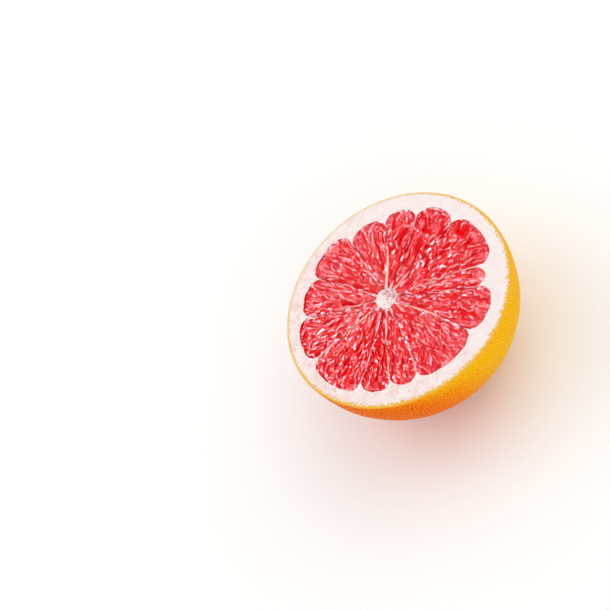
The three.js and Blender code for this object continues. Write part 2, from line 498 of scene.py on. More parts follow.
def sac_relief(x, y, sacs):
    """The height of the pulp at points about the core, the chance number of the sac on top, how far it
    stands over the next one, and the tilt of the facet of its skin."""
    top = np.full(x.shape, NO_SAC)
    below = np.full(x.shape, NO_SAC)
    chance = np.zeros(x.shape)
    tilt = np.zeros(x.shape + (2,))
    x = x + WAVER * value_noise(x * WAVER_CELLS, y * WAVER_CELLS, 51)
    y = y + WAVER * value_noise(x * WAVER_CELLS, y * WAVER_CELLS, 52)
    for cx, cy, turn, half_length, half_width, rise, slope, draw in sacs:
        reach = half_length * SEARCH_SHARE
        near = np.nonzero((np.abs(x - cx) < reach) & (np.abs(y - cy) < reach))[0]
        ahead = np.array([math.cos(turn), math.sin(turn)])
        aside = np.array([-math.sin(turn), math.cos(turn)])
        offset = np.stack([x[near] - cx, y[near] - cy], axis=-1)
        along = offset @ ahead / half_length
        taper = half_width * (MIDDLE_WIDTH + (1 - MIDDLE_WIDTH) * np.clip(along, -1, 1))
        across = offset @ aside / taper
        inside = 1 - np.abs(along) ** END_BLUNTNESS - np.abs(across) ** SIDE_BLUNTNESS
        kept = inside > 0
        near, inside, along, offset = near[kept], inside[kept], along[kept], offset[kept]
        height = rise + slope * along - BACK_SHARE * half_width * (1 - np.sqrt(inside))
        higher = height > top[near]
        below[near] = np.where(higher, top[near], np.maximum(below[near], height))
        top[near] = np.maximum(top[near], height)
        near, offset = near[higher], offset[higher]
        column = np.floor(offset @ aside / FACET_WIDTH + 5 * draw)
        row = np.floor(offset @ ahead / (FACET_SHARE * half_length) + scatter(column, 0, draw))
        chance[near] = draw
        sideways = scatter(column, row, 31 * draw)[:, None]
        lengthwise = FACET_LENGTHWISE * scatter(column, row, 17 * draw)[:, None]
        tilt[near] = sideways * aside + lengthwise * ahead
    return top, chance, top - below, tilt


def cut_off(height, level, softness):
    """Heights under a knife's plane, with a soft passage."""
    return height - softness * np.logaddexp(0, (height - level) / softness)


# Where the pulp grows on the membranes and the wall: how far it overlaps them on the cut face, how much
# further where it closes over a membrane, and how far it overlaps them below, all in millimetres
PULP_OVERLAP = 0.08
COVER_OVERLAP = 0.13
DEEP_OVERLAP = 0.1

# The cut face of the pulp, in millimetres. Between the sacs it is hollow, less so beside the membranes:
# its height there, how much deeper it gets, and over what distance. The knife cut off what stood higher
# than its plane. At its edge the pulp comes to a height of its own, over a narrow band.
HOLLOW_EDGE = -0.25
HOLLOW_DEPTH = 1.25
HOLLOW_DISTANCE = 0.9
HOLLOW_NOISE = ((0.25, 1.5, 3),)
TOP_NOISE = ((0.07, 0.9, 4),)
KNIFE_HEIGHT = 0.06
KNIFE_SOFTNESS = 0.06
EDGE_HEIGHT = -0.02
EDGE_BAND = 0.22

# About how long a segment is from the core to the wall, in millimetres, for the distance to its ends
SEGMENT_LENGTH = 40

# The outer wall of the pulp: how far down it starts, as an angle, and the number of its rows
WALL_START = 0.03
PULP_WALL_ROWS = 8

# In the grain of the pulp, an angle about the core counts as its length at this distance, in millimetres
GRAIN_RADIUS = 25


def pulp_top(x, y, edge, sacs):
    """The heights of the cut pulp at points about the core, and what its material needs to know there:
    the chance number of the sac, how far it stands over the next one, and its facet's lean."""
    top, chance, stand, tilt = sac_relief(x.ravel(), y.ravel(), sacs)
    hollow = HOLLOW_EDGE - HOLLOW_DEPTH * (1 - np.exp(-edge / HOLLOW_DISTANCE))
    hollow += layered_noise(x, y, HOLLOW_NOISE)
    top = np.maximum(top.reshape(x.shape), hollow) + layered_noise(x, y, TOP_NOISE)
    top = cut_off(top, KNIFE_HEIGHT, KNIFE_SOFTNESS)
    top += (EDGE_HEIGHT - top) * np.exp(-edge / EDGE_BAND)
    facet = FACET_WEIGHT * np.concatenate([FACET_TILT * tilt, np.ones((len(tilt), 1))], axis=1)
    return top, chance.reshape(x.shape), np.clip(stand, 0, 1).reshape(x.shape), facet.reshape(x.shape + (3,))


def pulp_mesh(name, face, index, size, rng):
    """One segment's pulp: a fine cut top, and plain walls down to the foot of the core."""
    sacs = lay_sacs(face, index, size, rng)
    step = size.pulp_step / MM
    reach = SEGMENTS[index][1]
    start, end = face.span(index)
    columns = round((end - start) * reach / step)
    share = np.linspace(0, 1, columns + 1)[:, None]
    outer = face.outer(index, share)
    inner = face.inner[index]
    rows = round((reach - inner) / step)
    way = np.linspace(0, 1, rows + 1)[None, :]
    r = inner + (outer - inner) * way
    first, last = face.sides(index, r, margin=PULP_OVERLAP)
    first = first - COVER_OVERLAP * face.cover(index, r) / r
    last = last + COVER_OVERLAP * face.cover(index + 1, r) / r
    angle = first + (last - first) * share
    from_side = np.minimum(share, 1 - share) * (last - first) * r
    from_end = np.minimum(way, 1 - way) * SEGMENT_LENGTH
    edge = np.maximum(np.minimum(from_side, from_end) - PULP_OVERLAP, 0)
    top, chance, stand, facet = pulp_top(r * np.cos(angle), r * np.sin(angle), edge, sacs)

    down = np.linspace(WALL_START, face.wall_end, PULP_WALL_ROWS)[None, :]
    wall_r = outer * np.cos(down)
    wall_first, wall_last = face.sides(index, wall_r, margin=DEEP_OVERLAP)
    wall_angle = wall_first + (wall_last - wall_first) * share
    foot_r = np.full_like(outer, inner)
    foot_first, foot_last = face.sides(index, foot_r, margin=DEEP_OVERLAP)
    foot_angle = foot_first + (foot_last - foot_first) * share
    profile = np.concatenate([
        face.point(r, angle, top),
        face.point(wall_r, wall_angle, -face.depth * np.sin(down)),
        face.point(foot_r, foot_angle, -face.depth * math.sin(face.wall_end)),
    ], axis=1)

    loop = profile.shape[1]
    number = np.arange(profile.shape[0] * loop).reshape(-1, loop)
    ring = np.concatenate([number, number[:, :1]], axis=1)
    faces = [tuple(quad) for quad in grid_faces(ring)]
    faces += face.side_faces(profile[0], number[0], 1)
    faces += face.side_faces(profile[columns], number[columns], -1)
    mesh = mesh_from(name, profile.reshape(-1, 3), faces)

    walls = np.zeros((columns + 1, loop - rows - 1))
    for key, values in (("sac", chance), ("stand", stand)):
        add_attribute(mesh, key, np.concatenate([values, walls], axis=1))
    no_facet = np.zeros(walls.shape + (3,))
    add_attribute(mesh, "facet", np.concatenate([facet, no_facet], axis=1))
    along_x, along_y = profile[..., 0] - face.core[0], profile[..., 1] - face.core[1]
    grain = [np.arctan2(along_y, along_x) * GRAIN_RADIUS, np.hypot(along_x, along_y), profile[..., 2]]
    add_attribute(mesh, "grain", np.stack(grain, axis=-1))
    return mesh


# The pulp's patterns, in millimetres: how wide the fibres in the skins are, how many times longer than
# wide, and how wide the ripples in the skins are
FIBRE_WIDTH = 0.7143
FIBRE_STRETCH = 4
RIPPLE_WIDTH = 1.667


def pulp_material(colours):
    """Juice sacs: clear, wet skins full of red juice. Light enters them, scatters red, and glints sharply
    on their wet backs."""
    material, tree = new_material("Juice sacs")
    sac = add_node(tree, "ShaderNodeAttribute", {"attribute_name": "sac"})
    stand = add_node(tree, "ShaderNodeAttribute", {"attribute_name": "stand"})
    grain = add_node(tree, "ShaderNodeAttribute", {"attribute_name": "grain"})
    coords = add_node(tree, "ShaderNodeTexCoord")
    parts = add_node(tree, "ShaderNodeSeparateXYZ", {}, {0: grain.outputs["Vector"]})
    stretched = add_node(tree, "ShaderNodeVectorMath", {"operation": "MULTIPLY"}, {
        0: grain.outputs["Vector"], 1: (1.0, 1 / FIBRE_STRETCH, 1.0)})
    fibres = add_node(tree, "ShaderNodeTexNoise", {}, {
        "Vector": stretched.outputs[0], "Scale": 1 / FIBRE_WIDTH, "Detail": 1.5, "Roughness": 0.5})
    broad = add_node(tree, "ShaderNodeTexNoise", {}, {
        "Vector": coords.outputs["Object"], "Scale": pattern_scale(RIPPLE_WIDTH), "Detail": 0.0})
    # Painted shade: the low parts of the pulp turn a darker red by height and lose the pale skins. Those
    # skins show only on higher sacs that stand clear of the next.
    high = add_node(tree, "ShaderNodeMapRange", {"interpolation_type": "SMOOTHSTEP"}, {
        "Value": parts.outputs["Z"], "From Min": PULP_LOW, "From Max": PULP_HIGH})
    body = add_node(tree, "ShaderNodeMix", {"data_type": "RGBA"}, {
        "Factor": high.outputs[0], MIX_A: colours.pulp_hollow_shade, MIX_B: colours.pulp})
    pale = add_node(tree, "ShaderNodeMapRange", {}, {
        "Value": sac.outputs["Fac"], "From Min": 0.55, "From Max": 1.0, "To Max": 0.1})
    fibre = add_node(tree, "ShaderNodeMapRange", {}, {
        "Value": fibres.outputs["Fac"], "From Min": 0.58, "From Max": 0.66, "To Max": 0.16})
    both = add_node(tree, "ShaderNodeMath", {"operation": "ADD", "use_clamp": True}, {
        0: pale.outputs[0], 1: fibre.outputs[0]})
    on_top = add_node(tree, "ShaderNodeMath", {"operation": "MULTIPLY"}, {
        0: both.outputs[0], 1: high.outputs[0]})
    stands = add_node(tree, "ShaderNodeMapRange", {"interpolation_type": "SMOOTHSTEP"}, {
        "Value": stand.outputs["Fac"], "From Min": 0.05, "From Max": 0.3})
    skins = add_node(tree, "ShaderNodeMath", {"operation": "MULTIPLY"}, {
        0: on_top.outputs[0], 1: stands.outputs[0]})
    paler = add_node(tree, "ShaderNodeMix", {"data_type": "RGBA"}, {
        "Factor": skins.outputs[0], MIX_A: body.outputs[MIXED], MIX_B: colours.pulp_pale})
    ripple = add_node(tree, "ShaderNodeMath", {"operation": "MULTIPLY_ADD"}, {
        0: broad.outputs["Fac"], 1: 0.6, 2: fibres.outputs["Fac"]})
    facet = add_node(tree, "ShaderNodeAttribute", {"attribute_name": "facet"})
    rounded = add_node(tree, "ShaderNodeNewGeometry")
    leaning = add_node(tree, "ShaderNodeVectorMath", {"operation": "ADD"}, {
        0: rounded.outputs["Normal"], 1: facet.outputs["Vector"]})
    faceted = add_node(tree, "ShaderNodeVectorMath", {"operation": "NORMALIZE"}, {0: leaning.outputs[0]})
    bump = add_node(tree, "ShaderNodeBump", {}, {
        "Height": ripple.outputs[0], "Strength": 0.05, "Distance": 0.0002, "Normal": faceted.outputs[0]})
    shader = add_node(tree, "ShaderNodeBsdfPrincipled", {"subsurface_method": "RANDOM_WALK"}, {
        "Base Color": paler.outputs[MIXED], "Roughness": 0.045, "IOR": 1.6, "Normal": bump.outputs[0],
        "Subsurface Weight": 0.9, "Subsurface Radius": (1.0, 0.1, 0.08), "Subsurface Scale": 0.002})
    finish_material(tree, shader)
    return material


class POMELO_OT_pulp(bpy.types.Operator):
    """Builds the juice sacs of every segment, as the knife left them"""

    bl_idname = "pomelo.pulp"
    bl_label = "Pulp"

    def execute(self, context):
        size = context.scene.pomelo_sizes
        face = CutFace(size)
        material = pulp_material(context.scene.pomelo_colours)
        for index in range(face.count):
            rng = np.random.default_rng(size.seed + index)
            node = f"pulp_{index + 1:02d}"
            mesh = pulp_mesh(f"juice_sacs_{index + 1:02d}", face, index, size, rng)
            place(mesh, material, [node])
        return {"FINISHED"}


class PointList:
    """Points gathered one array after another."""

    def __init__(self):
        self.arrays = []
        self.count = 0

    def add(self, array):
        """Adds points, and gives back their numbers."""
        points = np.asarray(array).reshape(-1, 3)
        self.arrays.append(points)
        self.count += len(points)
        return np.arange(self.count - len(points), self.count)

    def all(self):
        """Every point so far, in one array."""
        return np.concatenate(self.arrays)


class PithColumn:
    """A line of the pith's mesh that leads out from the core, through a segment or through the membrane
    after it."""

    # The divisions of the mesh: rows over the core, a membrane's top, the cut rind and a chamber's wall
    core_rows = 9
    top_rows = 70
    rind_rows = 16
    wall_rows = 6

    # In millimetres: how deep the core sinks at its edge, and how much more in its middle, how high the
    # crown of a membrane stands, and how far it sinks under the sacs that close over it
    core_drop = 0.12
    core_hollow = 0.3
    crown = 0.03
    cover_drop = 0.4

    # The band beside the skin in which the cut rind turns smooth, and how far it drops there
    rim_band = 0.8
    rim_drop = 0.12

    # How far down the wall of a chamber starts, as an angle
    wall_start = 0.02

    # A distance from the core that is past the flesh, and the layers of noise in the core and the rind
    past_flesh = 50.0
    core_lumps = ((0.3, 0.8, 21), (0.12, 2.1, 22))
    rind_relief = ((0.09, 0.45, 11), (0.05, 1.3, 12), (0.03, 2.9, 13))

    def __init__(self, face, index, share, in_flesh):
        self.face = face
        self.index = index
        self.share = share
        self.in_flesh = in_flesh
        self.following = (index + 1) % face.count
        if in_flesh:
            self.inner = face.inner[index]
            self.outer = float(face.outer(index, np.array([share]))[0])
        else:
            self.inner = face.inner[index] + (face.inner[self.following] - face.inner[index]) * share
            here = float(face.outer(index, np.array([1.0]))[0])
            there = float(face.outer(self.following, np.array([0.0]))[0])
            self.outer = here + (there - here) * share
        self.on_side = in_flesh and share in (0.0, 1.0)

    def angle(self, r):
        """The column's angles about the core, at distances from it."""
        first, last = self.face.sides(self.index, np.maximum(r, self.face.inner[self.index]))
        if self.in_flesh:
            return first + (last - first) * self.share
        following, _ = self.face.sides(self.following, np.maximum(r, self.face.inner[self.following]))
        return last + (following - last) % TURN * self.share

    def point(self, r, height):
        """Points at distances from the core, and heights over the cut."""
        return self.face.point(r, self.angle(r), height)

    def core_points(self):
        """The lumpy top of the core."""
        r = self.inner * np.linspace(0, 1, self.core_rows + 1)[1:]
        points = self.point(r, 0.0)
        lumps = layered_noise(points[:, 0], points[:, 1], self.core_lumps)
        points[:, 2] += lumps - self.core_hollow * np.clip(1 - r / self.inner, 0, 1) - self.core_drop
        return points

    def rind_points(self, inset):
        """The cut white of the rind, from the flesh to the skin."""
        skin = self.face.skin_distance(self.angle(np.array([self.past_flesh])), inset)[0]
        r = self.outer + (skin - self.outer) * np.linspace(0, 1, self.rind_rows + 1)
        points = self.point(r, 0.0)
        fade = np.clip((skin - r - self.rim_band) / self.rim_band, 0, 1)
        relief = layered_noise(points[:, 0], points[:, 1], self.rind_relief)
        points[:, 2] += relief * fade - self.rim_drop * (1 - fade)
        return points

    def top_points(self):
        """The top of a membrane, between the core and the rind."""
        r = np.linspace(self.inner, self.outer, self.top_rows + 1)[1:-1]
        points = self.point(r, 0.0)
        crown = 0.0 if self.in_flesh else self.crown * math.sin(math.pi * self.share)
        points[:, 2] += crown - self.cover_drop * self.face.cover(self.index + (self.share > 0), r)
        return points

    def chamber_points(self):
        """The wall of a chamber, from the foot of the core up to the cut."""
        foot = self.point(np.array([self.inner]), -self.face.depth * math.sin(self.face.wall_end))
        down = np.linspace(self.face.wall_end, self.wall_start, self.wall_rows + 1)
        wall = self.point(self.outer * np.cos(down), -self.face.depth * np.sin(down))
        return np.concatenate([foot, wall])


# The pith's mesh: the distance between its columns where the flesh ends, in millimetres, the steps across
# a membrane, the rings of the dome, how far inside the fruit's surface it lies, and how deep its middle is
PITH_STEP = 0.5
MEMBRANE_STEPS = 4
DOME_RINGS = 18
PITH_INSET = 0.3
MIDDLE_HEIGHT = -0.35

# How strongly the colour of the membranes shows on the walls of the chambers. On top it shows in full, and
# fades towards the core and the rind over these lengths in millimetres, which start a little before them.
WALL_TINT = 0.8
CORE_FADE = 3.0
RIND_FADE = 1.8
FADE_START = 0.3


def pith_columns(face):
    """The columns of the pith's mesh, anticlockwise."""
    columns = []
    for index in range(face.count):
        start, end = face.span(index)
        steps = round((end - start) * SEGMENTS[index][1] / PITH_STEP)
        for step in range(steps + 1):
            columns.append(PithColumn(face, index, step / steps, True))
        for step in range(1, MEMBRANE_STEPS):
            columns.append(PithColumn(face, index, step / MEMBRANE_STEPS, False))
    return columns


def dome_points(face, rim):
    """The pith's outside, in rings under the points of its rim."""
    azimuth = np.arctan2(rim[:, 1], rim[:, 0])
    radius = face.radius - PITH_INSET
    lowest = math.acos((face.height - PITH_INSET) / radius)
    rings = []
    for polar in np.linspace(math.pi / 2, lowest, DOME_RINGS + 1)[1:]:
        reach = radius * math.sin(polar) * roundness(azimuth)
        height = np.full(len(rim), face.height - radius * math.cos(polar))
        rings.append(np.stack([reach * np.cos(azimuth), reach * np.sin(azimuth), height], axis=-1))
    return np.stack(rings, axis=1)


def membrane_tint(face, points, ring, tops, walls):
    """How strongly the colour of the membranes shows at each point of the pith."""
    tint = np.zeros(len(points))
    for column, numbers in tops.items():
        near_core = np.hypot(*(points[numbers, :2] - face.core).T) - face.core_radius
        near_rind = np.hypot(*(points[numbers, :2] - points[ring[column, 0], :2]).T)
        from_core = np.clip((near_core + FADE_START) / CORE_FADE, 0, 1)
        tint[numbers] = from_core * np.clip((near_rind + FADE_START) / RIND_FADE, 0, 1)
    for numbers in walls.values():
        tint[numbers] = WALL_TINT
    return tint


def pith_mesh(name, face):
    """The white of the rind, the core and the membranes: a body in columns about the core."""
    columns = pith_columns(face)
    total = len(columns)
    gathered = PointList()
    middle = gathered.add(face.point(0.0, 0.0, MIDDLE_HEIGHT))[0]
    core, ring, walls, tops = [], [], {}, {}
    for number, column in enumerate(columns):
        core.append(gathered.add(column.core_points()))
        ring.append(gathered.add(column.rind_points(PITH_INSET)))
        if column.on_side or not column.in_flesh:
            tops[number] = gathered.add(column.top_points())
        if column.in_flesh:
            walls[number] = gathered.add(column.chamber_points())
    core, ring = np.array(core), np.array(ring)
    dome = gathered.add(dome_points(face, gathered.all()[ring[:, -1]])).reshape(total, DOME_RINGS)
    bottom = gathered.add([[0, 0, PITH_INSET]])[0]
    points = gathered.all()

    faces = [tuple(quad) for quad in grid_faces(core, close=True)]
    faces += [tuple(quad) for quad in grid_faces(np.concatenate([ring, dome], axis=1), close=True)]
    for here, column in enumerate(columns):
        there = (here + 1) % total
        faces.append((int(middle), int(core[here, 0]), int(core[there, 0])))
        faces.append((int(dome[here, -1]), int(bottom), int(dome[there, -1])))
        following = columns[there]
        same_segment = column.in_flesh and following.in_flesh and column.index == following.index
        between = walls if same_segment else tops
        pair = [np.concatenate([core[i, -1:], between[i], ring[i, :1]]) for i in (here, there)]
        faces += [tuple(quad) for quad in grid_faces(np.array(pair))]
        if column.on_side:
            loop = np.concatenate([core[here, -1:], tops[here], ring[here, :1], walls[here][::-1]])
            faces += face.side_faces(points[loop], loop, 1 if column.share == 1.0 else -1)
    mesh = mesh_from(name, points, faces)
    add_attribute(mesh, "membrane", membrane_tint(face, points, ring, tops, walls))
    return mesh


# The pith's patterns, in millimetres: the width of its flecks, of its blotches and of the core's stains, and
# the distances from the middle of the core between which the stains end
FLECK_WIDTH = 1.538
BLOTCH_WIDTH = 4.167
STAIN_WIDTH = 1.786
STAIN_START = 3.5
STAIN_END = 6.5

# How much more stained the core gets along X and Y, to a metre
STAIN_SIDE = (22.0, 26.0, 0.0)

# The flecks show more on one side of the fruit: in which direction, and between which places along it, in
# millimetres
FLECKED_SIDE = (-0.75, -0.66, 0.0)
FLECKS_FROM = -40.0
FLECKS_TO = 30.0


def pith_material(colours, face):
    """Citrus pith: dry, spongy, matt and white, with faint pink flecks. Red juice stains the core."""
    material, tree = new_material("Citrus pith")
    coords = add_node(tree, "ShaderNodeTexCoord")
    flecks = add_node(tree, "ShaderNodeTexNoise", {}, {
        "Vector": coords.outputs["Object"], "Scale": pattern_scale(FLECK_WIDTH), "Detail": 3.0,
        "Roughness": 0.7})
    fleck = add_node(tree, "ShaderNodeMapRange", {}, {
        "Value": flecks.outputs["Fac"], "From Min": 0.58, "From Max": 0.68, "To Max": 0.8})
    blotches = add_node(tree, "ShaderNodeTexNoise", {}, {
        "Vector": coords.outputs["Object"], "Scale": pattern_scale(BLOTCH_WIDTH), "Detail": 3.0,
        "Roughness": 0.6})
    blotch = add_node(tree, "ShaderNodeMapRange", {}, {
        "Value": blotches.outputs["Fac"], "From Min": 0.38, "From Max": 0.68, "To Max": 0.42})
    both = add_node(tree, "ShaderNodeMath", {"operation": "ADD", "use_clamp": True}, {
        0: fleck.outputs[0], 1: blotch.outputs[0]})
    toward = add_node(tree, "ShaderNodeVectorMath", {"operation": "DOT_PRODUCT"}, {
        0: coords.outputs["Object"], 1: FLECKED_SIDE})
    side = add_node(tree, "ShaderNodeMapRange", {"interpolation_type": "SMOOTHSTEP"}, {
        "Value": toward.outputs["Value"], "From Min": FLECKS_FROM * MM, "From Max": FLECKS_TO * MM,
        "To Min": 0.3})
    spotted = add_node(tree, "ShaderNodeMath", {"operation": "MULTIPLY"}, {
        0: both.outputs[0], 1: side.outputs[0]})
    flecked = add_node(tree, "ShaderNodeMix", {"data_type": "RGBA"}, {
        "Factor": spotted.outputs[0], MIX_A: colours.pith, MIX_B: colours.pith_fleck})
    from_core = add_node(tree, "ShaderNodeVectorMath", {"operation": "SUBTRACT"}, {
        0: coords.outputs["Object"], 1: (*(face.core * MM), CUT_HEIGHT)})
    core_distance = add_node(tree, "ShaderNodeVectorMath", {"operation": "LENGTH"}, {
        0: from_core.outputs[0]})
    in_core = add_node(tree, "ShaderNodeMapRange", {"interpolation_type": "SMOOTHSTEP"}, {
        "Value": core_distance.outputs["Value"], "From Min": STAIN_START * MM, "From Max": STAIN_END * MM,
        "To Min": 1.0, "To Max": 0.0})
    stains = add_node(tree, "ShaderNodeTexNoise", {}, {
        "Vector": coords.outputs["Object"], "Scale": pattern_scale(STAIN_WIDTH), "Detail": 3.0,
        "Roughness": 0.7})
    upper = add_node(tree, "ShaderNodeVectorMath", {"operation": "DOT_PRODUCT"}, {
        0: from_core.outputs[0], 1: STAIN_SIDE})
    stained = add_node(tree, "ShaderNodeMath", {"operation": "ADD"}, {
        0: stains.outputs["Fac"], 1: upper.outputs["Value"]})
    stain = add_node(tree, "ShaderNodeMapRange", {}, {
        "Value": stained.outputs[0], "From Min": 0.51, "From Max": 0.65, "To Max": 0.8})
    core_stain = add_node(tree, "ShaderNodeMath", {"operation": "MULTIPLY"}, {
        0: stain.outputs[0], 1: in_core.outputs[0]})
    marked = add_node(tree, "ShaderNodeMix", {"data_type": "RGBA"}, {
        "Factor": core_stain.outputs[0], MIX_A: flecked.outputs[MIXED], MIX_B: colours.core_stain})
    membrane = add_node(tree, "ShaderNodeAttribute", {"attribute_name": "membrane"})
    white = add_node(tree, "ShaderNodeMix", {"data_type": "RGBA"}, {
        "Factor": membrane.outputs["Fac"], MIX_A: marked.outputs[MIXED], MIX_B: colours.membrane})
    bump = add_node(tree, "ShaderNodeBump", {}, {
        "Height": flecks.outputs["Fac"], "Strength": 0.3, "Distance": 0.0002})
    shader = add_node(tree, "ShaderNodeBsdfPrincipled", {}, {
        "Base Color": white.outputs[MIXED], "Roughness": 0.7, "Specular IOR Level": 0.1,
        "Normal": bump.outputs[0]})
    finish_material(tree, shader)
    return material


class POMELO_OT_pith(bpy.types.Operator):
    """Builds the white of the rind, the core and the membranes in one"""

    bl_idname = "pomelo.pith"
    bl_label = "Pith and membranes"

    def execute(self, context):
        size = context.scene.pomelo_sizes
        face = CutFace(size)
        mesh = pith_mesh("pith_and_membranes", face)
        place(mesh, pith_material(context.scene.pomelo_colours, face), ["pith"])
        return {"FINISHED"}


# The oil glands: how far they stray from an even spiral and how far from the cut the first ones lie, as
# shares of their spacing, and how much closer together the points along the cut are
PORE_STRAY = 0.27
RIM_CLEARANCE = 0.55
RIM_CROWDING = 1.05

# The radius of the pit over a gland, as a share of the glands' spacing
PIT_SHARE = 0.42

# The cuts that split each edge of the net between the pores
NET_CUTS = 3


def pore_sites(size, rng):
    """Points of the peel's mesh about the middle of the cut: one over each oil gland, in an uneven
    spiral, and a row along the cut. The second array is 1 at the glands and 0 along the cut."""
    radius, spacing = size.radius / MM, size.pore_spacing / MM
    count = round(TURN * radius ** 2 / (spacing ** 2 * math.sqrt(0.75)))
    order = np.arange(count) + 0.5
    depth = order / count
    turn = order * TURN * (3 - math.sqrt(5)) / 2
    flat = np.sqrt(1 - depth ** 2)
    sites = radius * np.stack([flat * np.cos(turn), flat * np.sin(turn), -depth], axis=-1)
    sites += rng.uniform(-PORE_STRAY, PORE_STRAY, sites.shape) * spacing
    sites *= radius / np.linalg.norm(sites, axis=1, keepdims=True)
    sites = sites[sites[:, 2] < -RIM_CLEARANCE * spacing]
    rim_turn = np.linspace(0, TURN, round(TURN * radius / spacing * RIM_CROWDING), endpoint=False)
    rim = radius * np.stack([np.cos(rim_turn), np.sin(rim_turn), 0 * rim_turn], axis=-1)
    return np.concatenate([sites, rim]), np.concatenate([np.ones(len(sites)), np.zeros(len(rim))])


def skeleton_mesh(size, rng):
    """The peel's outside as a net of triangles between its pores, each split into 16."""
    sites, is_pore = pore_sites(size, rng)
    net = bmesh.new()
    points = [net.verts.new(p * MM) for p in sites]
    net.verts.index_update()
    bmesh.ops.convex_hull(net, input=points)
    lid = [f for f in net.faces if all(v.co.z > -MM / 1000 for v in f.verts)]
    bmesh.ops.delete(net, geom=lid, context="FACES")
    bmesh.ops.subdivide_edges(net, edges=net.edges[:], cuts=NET_CUTS, use_grid_fill=True)
    bmesh.ops.recalc_face_normals(net, faces=net.faces)
    mesh = bpy.data.meshes.new("peel_skeleton")
    net.to_mesh(mesh)
    net.free()
    between = np.zeros(len(mesh.vertices) - len(is_pore))
    add_attribute(mesh, "pore", np.concatenate([is_pore, between]))
    return mesh


# The peel's outside swells and sinks over a width in millimetres, by this much in all, about a level a
# little under the fruit's radius. The flat spot it rests on blends into it. The scar's dimple has a flat
# middle. All but the width are in metres, for the nodes.
SWELL_WIDTH = 14.286
SWELL_RANGE = 0.0005
SWELL_LEVEL = -0.00028
REST_BLEND = 0.0006
SCAR_MIDDLE = 0.0005
SCAR_DEPTH = 0.0004


def new_tree(name, sizes):
    """A geometry tree with named inputs for sizes, and the node that gives them."""
    tree = bpy.data.node_groups.new(name, "GeometryNodeTree")
    tree.interface.new_socket("Geometry", in_out="INPUT", socket_type="NodeSocketGeometry")
    for key, kind in sizes.items():
        tree.interface.new_socket(key, in_out="INPUT", socket_type=kind)
    tree.interface.new_socket("Geometry", in_out="OUTPUT", socket_type="NodeSocketGeometry")
    return tree, add_node(tree, "NodeGroupInput")


def finish_tree(tree, made, material):
    """Ends a geometry tree with real geometry in its material."""
    realised = add_node(tree, "GeometryNodeRealizeInstances", {}, {"Geometry": made.outputs[0]})
    dressed = add_node(tree, "GeometryNodeSetMaterial", {}, {
        "Geometry": realised.outputs[0], "Material": material})
    add_node(tree, "NodeGroupOutput", {}, {"Geometry": dressed.outputs[0]})


